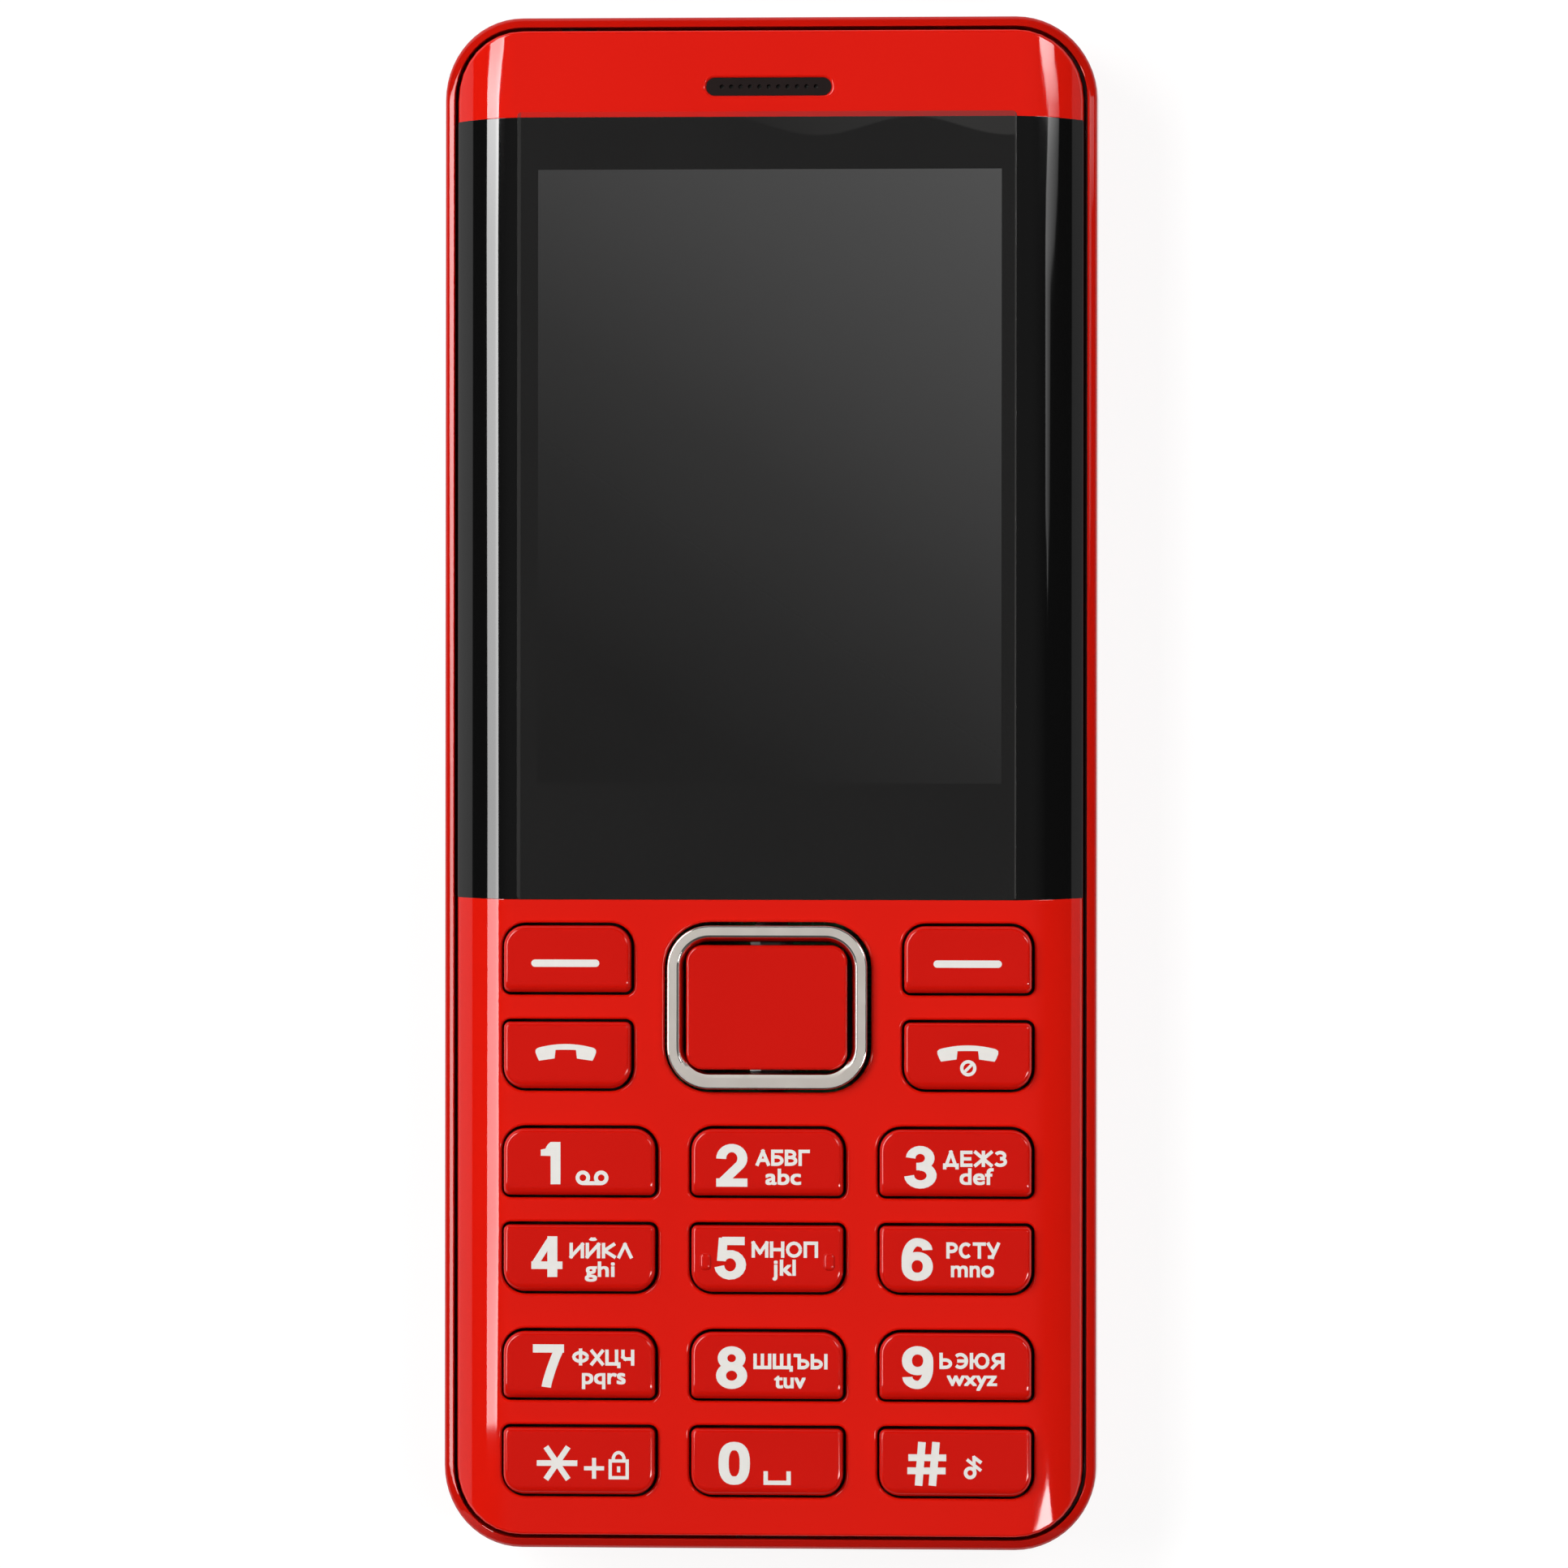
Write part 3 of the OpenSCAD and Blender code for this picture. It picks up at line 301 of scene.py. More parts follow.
for finish, *nodes in FITTINGS:
    dress(surface(*finish)[0], *nodes)

# The board's tracks are a pattern of paler lines in the solder mask.
board, tree, shader, place = surface("green solder mask", "0E4526", "15603A", 1.2, (0.3, 0.42), 0.3, 0.004)
tracks = add(tree, "TexBrick", {
    "Vector": place, "Scale": 1 / (2.2 * MM), "Color1": srgb("11502C"), "Color2": srgb("17673D"),
    "Mortar": srgb("2C8A58"), "Mortar Size": 0.05})
tree.links.new(tracks[0], shader.inputs["Base Color"])
dress(board, "main_board")

# The battery's wrap is dark printed film with a paler band at the contact end.
wrap, tree, shader, place = surface("dark battery wrap", "25282B", "2F3337", 6, (0.3, 0.42), 0.4, 0.001)
along = add(tree, "SeparateXYZ", {"Vector": place})[1]
pale = reckon(tree, "GREATER_THAN", along, 1.5 * MM)
toned = shader.inputs["Base Color"].links[0].from_socket
banded = add(tree, "Mix", {0: pale, 6: toned, 7: srgb("8E9499")}, data_type="RGBA")[2]
tree.links.new(banded, shader.inputs["Base Color"])
dress(wrap, "battery")

# Keypad sheet and display: a silicone sheet with a stud under each key lies on the domes, drawn charcoal as
# painted shade for the dark gaps round the keys, and the liquid crystal panel sits in its frame under the
# window.
dress(surface("silicone painted dark as gap shade", "151313", "1E1A1A", 2, (0.6, 0.75), 0.25, 0.003)[0], "keypad_mat")
dress(surface("unlit display glass", "2B2C2D", "343536", 9, (0.12, 0.2), 0.6, 0.0004)[0], "display_module")

# Front panel: one red moulding whose long edges roll down to the groove, gloss all over, with an
# opening for every key, for the ring and for the earpiece; the window lies across its full width.
KEY_GAP, RING_GAP = 0.2, 0.06
SOFT_X, SOFT_W, NUM_X, NUM_W, KEY_L = 18.525, 11.85, 17.4, 14.1, 6.25
UPPER, LOWER = (2.0, 2.0, 0.6, 0.6), (0.6, 0.6, 2.0, 2.0)
KEYS = {"softkey_left": (-SOFT_X, -16.25, SOFT_W, UPPER), "softkey_right": (SOFT_X, -16.25, SOFT_W, UPPER),
        "call_key": (-SOFT_X, -25.15, SOFT_W, LOWER), "end_key": (SOFT_X, -25.15, SOFT_W, LOWER)}
for y, radii, names in ((-35.0, UPPER, "123"), (-43.9, LOWER, "456"), (-53.75, UPPER, "789"),
                        (-62.65, LOWER, ("star", "0", "hash"))):
    KEYS.update({"key_" + name: (x, y, NUM_W, radii) for x, name in zip((-NUM_X, 0, NUM_X), names)})
RING_Y, RING_W, RING_L, RING_R = -20.7, 19.0, 15.6, 4.15
WINDOW_TOP, WINDOW_END = 61.525, -10.775
SEAMS = ((WINDOW_TOP, -0.34, 4.0), (WINDOW_END, 0.22, 1.6))
SEAM_BEND, SEAM_RUN = 22.0, 7.4


def seam_shift(points):
    """Shift along y that bends the window's two ends inwards on the rolls: it grows with the square of the
    way past the flat part and fades out to both sides of each seam (place, shift, reach)."""
    past = np.clip((np.abs(points[:, 0]) - SEAM_BEND) / SEAM_RUN, 0, 1.1) ** 2
    return sum(most * past * np.clip(1 - np.abs(points[:, 1] - at) / reach, 0, 1)
               for at, most, reach in SEAMS)


def inside(flat, loop):
    """Even-odd test of points against a closed loop: counts the sides that a line to the right crosses."""
    a, b = loop, np.roll(loop, -1, 0)
    x, y = flat[:, :1], flat[:, 1:]
    spans = (a[:, 1] > y) != (b[:, 1] > y)
    rise = np.where(b[:, 1] == a[:, 1], 1e-9, b[:, 1] - a[:, 1])
    return ((spans & (x < a[:, 0] + (y - a[:, 1]) / rise * (b[:, 0] - a[:, 0]))).sum(1) % 2).astype(bool)


def skin_between(loops, fill):
    """Points and upward triangles of a flat skin inside the first loop and outside the others, with the
    points of the fill in it."""
    starts = np.cumsum([0] + [len(q) for q in loops])
    rims = [(s + i, s + (i + 1) % len(q)) for s, q in zip(starts, loops) for i in range(len(q))]
    every = [Vector(p) for p in np.concatenate(loops + [fill]).tolist()]
    made, _, tris, _, _, _ = delaunay_2d_cdt(every, rims, [], 0, 1e-6)
    flat = np.array([tuple(p) for p in made])
    tris = np.array([t for t in tris if len(t) == 3])
    a, b, c = (flat[tris[:, i]] for i in range(3))
    area = (b[:, 0] - a[:, 0]) * (c[:, 1] - a[:, 1]) - (b[:, 1] - a[:, 1]) * (c[:, 0] - a[:, 0])
    kept = np.abs(area) > 1e-9
    for o in loops[1:]:
        kept &= ~inside(flat[tris].mean(1), o)
    return flat, np.where((area < 0)[:, None], tris[:, ::-1], tris)[kept]


def rolled_sheet(name, outer, openings, depth, fillet, material):
    """Sheet of even depth under the rolled front: its outline and openings are rounded rectangles (centre,
    w, l, radii) whose upper edges are quarter-round fillets, and the skin between is triangulated."""
    def edge(shape, grow, drop):
        centre, w, l, radii = shape
        run = (max(4, int(w / 0.4)) if shape is outer else 6, max(4, int(l / 2)))
        return lofted(w, l, radii, -np.asarray(grow), drop, centre, arc=8, run=run)

    def flat_loop(shape, grow):
        return edge(shape, [grow], [0])[0, :, :2]

    clear = 0.2
    loops = [flat_loop(outer, -fillet)] + [flat_loop(o, fillet) for o in openings]
    low, high = loops[0].min(0), loops[0].max(0)
    on_roll = np.linspace(FLAT_HALF, high[0], 18)[1:-1]
    columns = np.concatenate([np.linspace(-FLAT_HALF, FLAT_HALF, 20), on_roll, -on_roll])
    rows = np.linspace(low[1], high[1], max(4, int((high[1] - low[1]) / 1.6)))[1:-1]
    fill = np.stack(np.meshgrid(columns, rows), -1).reshape(-1, 2)
    fill = fill[inside(fill, flat_loop(outer, -fillet - clear))]
    for o in openings:
        fill = fill[~inside(fill, flat_loop(o, fillet + clear))]
    flat, tris = skin_between(loops, fill)
    top = np.column_stack([flat, front_height(flat[:, 0])])
    points, faces = [top, top - [0, 0, depth]], tris.tolist() + (tris[:, ::-1] + len(top)).tolist()
    bend = np.radians(np.linspace(0, 90, 6))
    grow = np.append(fillet * (1 - np.sin(bend)), [0, fillet])
    drop = np.append(-fillet * (1 - np.cos(bend)), [-depth, -depth])
    for shape in [outer] + openings:
        way = -1 if shape is outer else 1
        rim = edge(shape, way * grow, drop)[::way]
        rim[..., 2] += front_height(rim[..., 0])
        start = sum(len(p) for p in points)
        faces += (np.array(loop_faces(*rim.shape[:2])) + start).tolist()
        points.append(rim.reshape(-1, 3))
    points = np.concatenate(points)
    points[:, 1] += seam_shift(points)
    piece = add_mesh(name, points, faces, material)
    weld(piece.data, 3e-6)
    place = read_points(piece.data) / MM
    lean = np.sign(place[:, 0]) * np.clip(np.abs(place[:, 0]) - FLAT_HALF, 0, ROLL_R) / ROLL_R
    true = np.column_stack([lean, np.zeros(len(lean)), np.sqrt(1 - lean**2)])
    true[np.abs(place[:, 2] - front_height(place[:, 0])) > 5e-4] = 0
    piece.data.shade_smooth()
    piece.data.normals_split_custom_set_from_vertices(true.tolist())
    return piece


# The front's plastic is the brighter red, polished, with the same faint drift and waviness.
red_shell = surface("red gloss plastic", "D31306", "DA1708", 22, (0.015, 0.03), 4.0, 0.0012, shine=0.4)[0]
PANEL_T, PANEL_FILLET, SEAM_LAP, SEAM_R = 1.4, 0.28, 0.2, 0.15
EARPIECE_SLOT = ((0, 64.325), 11.6, 1.65, 0.825)
upper_len, lower_len = PANEL_L / 2 - WINDOW_TOP + SEAM_LAP, WINDOW_END + PANEL_L / 2 + SEAM_LAP
upper = ((0, PANEL_L / 2 - upper_len / 2), PANEL_W, upper_len, (PANEL_R, PANEL_R, SEAM_R, SEAM_R))
lower = ((0, -PANEL_L / 2 + lower_len / 2), PANEL_W, lower_len, (SEAM_R, SEAM_R, PANEL_R, PANEL_R))
openings = [((x, y), w + 2 * KEY_GAP, KEY_L + 2 * KEY_GAP, np.array(radii) + KEY_GAP)
            for x, y, w, radii in KEYS.values()]
openings.append(((0, RING_Y), RING_W + 2 * RING_GAP, RING_L + 2 * RING_GAP, RING_R + RING_GAP))
panel_top = rolled_sheet("front_panel_upper", upper, [EARPIECE_SLOT], PANEL_T, PANEL_FILLET, red_shell)
panel_low = rolled_sheet("front_panel_lower", lower, openings, PANEL_T, PANEL_FILLET, red_shell)
fit(panel_top, "chassis", "red_shell")
fit(panel_low, "chassis", "red_shell", "front_housing")

# Window: black acrylic over the upper part, thermoformed to the same roll and glued into the panel.
# It is printed black behind except over the display, whose unlit grey shows with painted light on it: lighter
# towards the upper right and darker downwards.
PICTURE_X, PICTURE_Y, PICTURE_W, PICTURE_L = 0.1, 28.33, 42.9, 56.7
WINDOW_T, WINDOW_FILLET, WINDOW_LAP = 1.2, 0.05, 0.03
acrylic, tree, shader, place = surface(
    "polished black acrylic", "070707", "0A0A0A", 30, (0.03, 0.05), 3, 0.0001)
black = shader.inputs["Base Color"].links[0].from_socket
side, along, _ = add(tree, "SeparateXYZ", {"Vector": place})
across, height = [remap(tree, value, (middle - size / 2) * MM, (middle + size / 2) * MM, clamp=False)
                  for value, middle, size in ((side, PICTURE_X, PICTURE_W), (along, PICTURE_Y, PICTURE_L))]
in_x, in_y = [reckon(tree, "COMPARE", share, 0.5, 0.5) for share in (across, height)]
picture = reckon(tree, "MULTIPLY", in_x, in_y)
# Painted light on the display: its grey grows from the lower left to the upper right.
painted_light_slant = reckon(tree, "MULTIPLY_ADD", across, 0.34, reckon(tree, "MULTIPLY", height, 0.65))
painted_display_light = ramp(tree, painted_light_slant, (
    (0.0, "000000"), (0.17, "070707"), (0.33, "1B1B1B"), (0.49, "2A2A2A"), (0.65, "3A3A3A"), (1.0, "515151")))
shown = add(tree, "Mix", {0: picture, 6: black, 7: painted_display_light}, data_type="RGBA")[2]
tree.links.new(shown, shader.inputs["Base Color"])
pane = ((0, (WINDOW_TOP + WINDOW_END) / 2), PANEL_W, WINDOW_TOP - WINDOW_END + 2 * WINDOW_LAP, SEAM_R)
window = rolled_sheet("window", pane, [], WINDOW_T, WINDOW_FILLET, acrylic)
fit(window, "chassis", "black_acrylic", "screen_window")

# Protective film: clear polyester 0.1 mm thick, stuck over the window with its upper end lapped on
# the red panel, where it stands off a little and has caught air.
FILM_W, FILM_L, FILM_R, FILM_X, FILM_Y = 46.2, 72.8, 0.4, -0.18, 25.625
WAVE, CREST, AIR_LEAST, AIR_MOST, AIR_BLUR = 17.6, 4.6, 0.5, 2.2, 0.1
film_clear, tree, shader, place = surface(
    "clear polyester film", "4A4948", "545352", 14, (0.05, 0.09), 5, 0.0002)
side, along, _ = add(tree, "SeparateXYZ", {"Vector": place})
from_top = reckon(tree, "SUBTRACT", FILM_Y * MM + FILM_L / 2 * MM, along)
turn = 2 * np.pi / WAVE
wave = reckon(tree, "COSINE", reckon(tree, "MULTIPLY_ADD", side, turn / MM, -CREST * turn))
border = remap(tree, wave, -1.0, 1.0, AIR_LEAST * MM, AIR_MOST * MM)
near_top = remap(tree, reckon(tree, "SUBTRACT", border, from_top), -AIR_BLUR * MM, AIR_BLUR * MM)
to_right = remap(tree, side, -6 * MM, 18 * MM, 0.0, 0.15)
# Both cut edges get a painted highlight, a line of light, the right one a brighter one; the right one's ramp
# starts from the film's faint haze all over.
right, left = FILM_X + FILM_W / 2, FILM_X - FILM_W / 2
haze_and_right_glint = remap(tree, side, (right - 0.14) * MM, (right - 0.12) * MM, 0.06, 0.3)
left_edge_glint = remap(tree, side, (left + 0.36) * MM, (left + 0.28) * MM, 0.0, 0.13)
edges = reckon(tree, "ADD", haze_and_right_glint, left_edge_glint)
tree.links.new(reckon(tree, "MULTIPLY_ADD", near_top, to_right, edges), shader.inputs["Alpha"])
film_in = [1.5, 0.3, 0.02, 0, 0, 0.02, 0.3, 1.5]
film_z = FRONT_Z + np.array([0.01, 0.01, 0.01, 0.02, 0.08, 0.1, 0.1, 0.1])
rows = lofted(FILM_W, FILM_L, FILM_R, film_in, film_z, (FILM_X, FILM_Y), arc=4, run=(12, 18))
fit(add_loft("screen_film", rows, film_clear), "chassis", "clear_film", "screen_film")

# Earpiece: a black moulded insert with a row of eleven sound holes, pressed into its slot from behind.
dress(surface("dull black insert", "150C0B", "1D1211", 2, (0.5, 0.6), 0.12, 0.002, shine=0.1)[0],
      "earpiece_grille")

# Keys: red lacquered caps moulded with a small round edge, whose lower side falls away softly; a flange
# under the panel holds each. The legends are printed in white ink, and the 5 has two small raised nibs.
KEY_TOP, KEY_FOOT, BEVEL, CAP_IN = 15.4, 12.5, 0.42, 0.05
FALL_L, FALL_H = 0.95, 0.36
INK, HAIR, SPREAD, LETTER_PEN = 0.02, 0.0006, 0.05, 0.31
red_keys = surface("red key lacquer", "C50F04", "CC1106", 14, (0.05, 0.08), 1.6, 0.0002, shine=0.4)[0]
ink = surface("white printing ink", "DEDBD6", "E5E2DD", 0.8, (0.4, 0.55), 0.15, 0.001)[0]


def band(low, high, closed=False):
    """Flat strip of ink between two lines of points, from just under the key's top to just over it."""
    rows = np.stack([high, low, low, high], 1)
    lift = np.broadcast_to([INK, INK, -INK, -INK], rows.shape[:2])
    n = len(rows)
    ends = [] if closed else [[3, 2, 1, 0], [4 * n - 4, 4 * n - 3, 4 * n - 2, 4 * n - 1]]
    return np.concatenate([rows, lift[..., None]], -1).reshape(-1, 3), loop_faces(n, 4, ring=closed) + ends


def stroke(path, width, closed=False):
    """Strip of even width whose middle runs along a path of points."""
    path = np.asarray(path, float)
    run = np.roll(path, -1, 0) - np.roll(path, 1, 0) if closed else np.gradient(path, axis=0)
    left = np.stack([-run[:, 1], run[:, 0]], 1) / np.hypot(run[:, 0], run[:, 1])[:, None] * width / 2
    return band(path - left, path + left, closed)


def bars(width, *ends):
    """Straight strokes of one width, each between two ends (x, y, x, y)."""
    return [stroke([end[:2], end[2:]], width) for end in ends]


def overlaid(parts):
    """Joins solids of ink into one list of points and one of faces, each a hair higher than the last."""
    starts = np.cumsum([0] + [len(p) for p, _ in parts])
    points = np.concatenate([p + (0, 0, HAIR * k) for k, (p, _) in enumerate(parts)])
    return points, [[i + n for i in f] for n, (_, q) in zip(starts, parts) for f in q]


def ring_path(x, y, rx, ry, start=0, end=360, power=1.0):
    """Points of an arc of an ellipse, from one angle to another in degrees; a power of the sine and cosine
    below 1 makes it squarer."""
    whole = end - start == 360
    turn = np.radians(np.linspace(start, end, 33)[:-1] if whole else np.linspace(start, end, 17))
    round_trip = np.stack([np.cos(turn), np.sin(turn)], 1)
    return (x, y) + np.array([rx, ry]) * np.sign(round_trip) * np.abs(round_trip) ** power


def lettering(words, x, y, w, h):
    """Small letters stretched to a box of w by h round (x, y), as four prints laid over each other, each a
    little off the middle, which makes their strokes bolder."""
    curve = bpy.data.curves.new("lettering", "FONT")
    curve.body, curve.extrude, curve.resolution_u = words, 0.01, 4
    shape = linked("lettering", curve)
    graph = bpy.context.evaluated_depsgraph_get()
    mesh = bpy.data.meshes.new_from_object(shape.evaluated_get(graph), depsgraph=graph)
    points = read_points(mesh)
    low, high = points[:, :2].min(0), points[:, :2].max(0)
    flat = ((points[:, :2] - low) / (high - low) - 0.5) * (w - 2 * SPREAD, h - 2 * SPREAD) + (x, y)
    one = np.column_stack([flat, np.where(points[:, 2] > 0, INK, -INK)])
    faces = [list(f.vertices) for f in mesh.polygons]
    bpy.data.objects.remove(shape)
    off = np.array([(1, 1, 0), (-1, 1, 0.001), (-1, -1, 0.002), (1, -1, 0.003)]) * (SPREAD, SPREAD, 1)
    prints = [[i + k * len(one) for i in f] for k in range(len(off)) for f in faces]
    return (one + off[:, None]).reshape(-1, 3), prints


def bowl(x, foot, top, reach, side=1):
    """Round belly of a letter: out along the top, half an ellipse round, and back along the foot."""
    turn = np.radians(np.linspace(90, -90, 13))
    middle, half = (foot + top) / 2, (top - foot) / 2
    out = x + side * (reach * 0.45 + reach * 0.55 * np.cos(turn))
    curve = np.stack([out, middle + half * np.sin(turn)], 1)
    return np.concatenate([[(x, top)], curve, [(x, foot)]])


def square_letters(words, x, y, w, h, width):
    """Line of capitals drawn with strokes of even width: each letter is a few straight lines and arcs in a
    cell of height 1, the cells stand side by side, and the line is stretched to a box of w by h."""
    tail, stem = -0.2, [(0, 0), (0, 1)]
    forms = {
        "А": (1.0, [(0, 0), (0.5, 1), (1, 0)], [(0.2, 0.3), (0.8, 0.3)]),
        "Б": (0.85, [(0.8, 1), (0, 1), (0, 0)], bowl(0, 0, 0.57, 0.85)),
        "В": (0.85, stem, bowl(0, 0.53, 1, 0.75), bowl(0, 0, 0.53, 0.85)),
        "Г": (0.75, [(0, 0), (0, 1), (0.75, 1)]),
        "Д": (1.05, [(0.14, 0), (0.53, 1), (0.91, 0)], [(0, tail), (0, 0), (1.05, 0), (1.05, tail)]),
        "Е": (0.75, [(0.75, 1), (0, 1), (0, 0), (0.75, 0)], [(0, 0.5), (0.65, 0.5)]),
        "Ж": (1.3, [(0.65, 0), (0.65, 1)], [(0, 1), (0.65, 0.5), (0, 0)], [(1.3, 1), (0.65, 0.5), (1.3, 0)]),
        "З": (0.8, ring_path(0.36, 0.75, 0.38, 0.25, 155, -90), ring_path(0.36, 0.27, 0.44, 0.27, 90, -155)),
        "И": (0.95, [(0, 1), (0, 0), (0.95, 1), (0.95, 0)]),
        "Й": (0.95, [(0, 1), (0, 0), (0.95, 1), (0.95, 0)], ring_path(0.48, 1.54, 0.27, 0.11, 200, 340)),
        "К": (0.9, stem, [(0.85, 1), (0.08, 0.5), (0.9, 0)]),
        "Л": (1.0, [(0, 0), (0.5, 1), (1, 0)]),
        "М": (1.15, [(0, 0), (0, 1), (0.575, 0.25), (1.15, 1), (1.15, 0)]),
        "Н": (0.95, stem, [(0.95, 0), (0.95, 1)], [(0, 0.5), (0.95, 0.5)]),
        "О": (1.1, ring_path(0.55, 0.5, 0.55, 0.5, 0, 359.9)),
        "П": (0.95, [(0, 0), (0, 1), (0.95, 1), (0.95, 0)]),
        "Р": (0.8, stem, bowl(0, 0.42, 1, 0.8)),
        "С": (0.95, ring_path(0.52, 0.5, 0.52, 0.5, 45, 315)),
        "Т": (0.95, [(0, 1), (0.95, 1)], [(0.475, 0), (0.475, 1)]),
        "У": (0.95, [(0, 1), (0.5, 0.32)], [(0.95, 1), (0.38, 0), (0.1, 0)]),
        "Ф": (1.2, [(0.6, 0), (0.6, 1.08)], ring_path(0.6, 0.54, 0.6, 0.34, 0, 359.9)),
        "Х": (0.9, [(0, 0), (0.9, 1)], [(0, 1), (0.9, 0)]),
        "Ц": (1.0, [(0, 1), (0, 0), (1.05, 0), (1.05, tail)], [(0.85, 1), (0.85, 0)]),
        "Ч": (0.85, [(0, 1), (0, 0.55), (0.2, 0.4), (0.85, 0.4)], [(0.85, 0), (0.85, 1)]),
        "Ш": (1.3, [(0, 1), (0, 0), (1.3, 0), (1.3, 1)], [(0.65, 0), (0.65, 1)]),
        "Щ": (1.45, [(0, 1), (0, 0), (1.5, 0), (1.5, tail)], [(0.65, 0), (0.65, 1)], [(1.3, 0), (1.3, 1)]),
        "Ъ": (1.1, [(0, 1), (0.35, 1), (0.35, 0)], bowl(0.35, 0, 0.57, 0.75)),
        "Ы": (1.2, stem, bowl(0, 0, 0.57, 0.78), [(1.2, 0), (1.2, 1)]),
        "Ь": (0.8, stem, bowl(0, 0, 0.57, 0.8)),
        "Э": (0.95, ring_path(0.43, 0.5, 0.52, 0.5, 135, -135), [(0.3, 0.5), (0.9, 0.5)]),
        "Ю": (1.4, stem, [(0, 0.5), (0.4, 0.5)], ring_path(0.9, 0.5, 0.5, 0.5, 0, 359.9)),
        "Я": (0.85, [(0.85, 0), (0.85, 1)], bowl(0.85, 0.42, 1, 0.8, -1), [(0.45, 0.42), (0, 0)])}
    drawn, start = [], 0.0
    for letter in words:
        step, *lines = forms[letter]
        for line in lines:
            line = np.asarray(line, float) + (start, 0)
            drawn += [line] if len(line) > 8 else [line[k:k + 2] for k in range(len(line) - 1)]
        start += step + 0.42
    every = np.concatenate(drawn)
    low, high = every.min(0), every.max(0)
    scale = np.array([w - width, h - width]) / (high - low)
    parts = []
    for line in drawn:
        line = (line - (low + high) / 2) * scale + (x, y)
        if len(line) == 2:
            reach = (line[1] - line[0]) / np.hypot(*(line[1] - line[0])) * width / 2
            line = np.stack([line[0] - reach, line[1] + reach])
        parts.append(stroke(line, width))
    return overlaid(parts)


def figure(digit, x, y, w=2.88, h=3.95):
    """Large figure drawn with a pen that is broader across than up: its middle lines are straight runs and
    arcs in a cell of 1 by 1, stretched to the box; a number after a line is its share of the pen."""
    pen_x, pen_y = 0.92, 0.76
    ex, ey = pen_x / 2 / (w - pen_x), pen_y / 2 / (h - pen_y)
    hook = np.concatenate([
        ring_path(0.5, 0.774, 0.475, 0.226, 0, 90), ring_path(0.5, 0.5, 0.5, 0.5, 90, 180)[1:], [(0, 0.3)]])
    six = [(ring_path(0.5, 0.3, 0.5, 0.3, power=0.94), 1), (hook, 1)]
    forms = {
        "0": [(ring_path(0.5, 0.5, 0.5, 0.5, power=0.8), 1.02)],
        "2": [(np.append(ring_path(0.5, 0.7, 0.5, 0.3, 182, -38), [(0.02, 0)], 0), 1),
              ([(-ex, 0), (1 + ex, 0)], 1)],
        "3": [(ring_path(0.46, 0.76, 0.45, 0.24, 178, -90), 0.96),
              (ring_path(0.47, 0.26, 0.53, 0.26, 90, -178), 1), ([(0.28, 0.52), (0.5, 0.52)], 0.9)],
        "4": [([(0.76, -ey), (0.76, 0.94 + ey)], 1), ([(-ex, 0.22), (1 + ex, 0.22)], 0.92),
              ([(0.66, 0.95), (-0.08, 0.24)], 0.74)],
        "5": [([(0.1, 1), (1 + 0.7 * ex, 1)], 1), ([(0.16, 1 + 0.75 * ey), (0.07, 0.42)], 0.9),
              (ring_path(0.48, 0.31, 0.52, 0.31, 138, -172), 1)],
        "6": six,
        "7": [([(-ex, 1), (1 + ex, 1)], 1),
              ([(1.02, 1.0), (0.82, 0.72), (0.62, 0.38), (0.45, 0.04), (0.4, -ey)], 0.95)],
        "8": [(ring_path(0.5, 0.77, 0.43, 0.23), 0.96), (ring_path(0.5, 0.265, 0.5, 0.265), 1)],
        "9": [(1 - path, pen) for path, pen in six]}
    squash = pen_y / pen_x
    parts = []
    for path, pen in forms[digit]:
        path = (np.asarray(path, float) - 0.5) * (w - pen_x, (h - pen_y) / squash)
        points, faces = stroke(path, pen_x * pen, len(path) == 32)
        parts.append((points * (1, squash, 1) + (x, y, 0), faces))
    return overlaid(parts)


def dash(x, y, w, h):
    """Bar with round ends, as a strip whose edges follow half circles at both ends."""
    turn = np.radians(np.linspace(0, 90, 7))
    rise = np.maximum(h / 2 * np.sin(np.append(turn, turn[::-1])), 0.01)
    ends = x + np.append(-w / 2 + h / 2 * (1 - np.cos(turn)), w / 2 - h / 2 * (1 - np.cos(turn[::-1])))
    return band(np.stack([ends, y - rise], 1), np.stack([ends, y + rise], 1))


def numeral_one(x, y, w, h):
    """The figure 1: an upright stem whose left edge turns out in a short curved flag near the top."""
    up = np.concatenate([[0, 0.67], np.linspace(0.675, 0.84, 9), np.linspace(0.85, 1, 4)])
    rising = np.clip((up - 0.67) / 0.002, 0, 1)
    flag = rising * np.where(up < 0.83, 1, np.clip((1 - up) / 0.17, 0, 1) ** 0.6 * 0.55)
    left = x - w / 2 + w * 0.5 * (1 - flag)
    rise = y - h / 2 + h * up
    return band(np.stack([np.full(len(up), x + w / 2), rise], 1), np.stack([left, rise], 1))


def handset(x, y, w, h):
    """Telephone receiver lying down: the strip between an arched back and an underside that drops to two
    lobes at the ends."""
    u = np.concatenate([np.linspace(-1, -0.37, 12), np.linspace(-0.34, 0.34, 13), np.linspace(0.37, 1, 12)])
    back = 0.5 - 0.27 * u**2 - 0.16 * np.clip(np.abs(u) - 0.93, 0, 1) / 0.07 * 0.5
    under = np.where(np.abs(u) < 0.35, 0.16 - 0.1 * u**2, -0.36 - 0.13 * (np.abs(u) - 0.37) / 0.5)
    under += np.clip(np.abs(u) - 0.9, 0, 1) / 0.1 * 0.5
    return band(np.stack([x + u * w / 2, y + under * h], 1), np.stack([x + u * w / 2, y + back * h], 1))


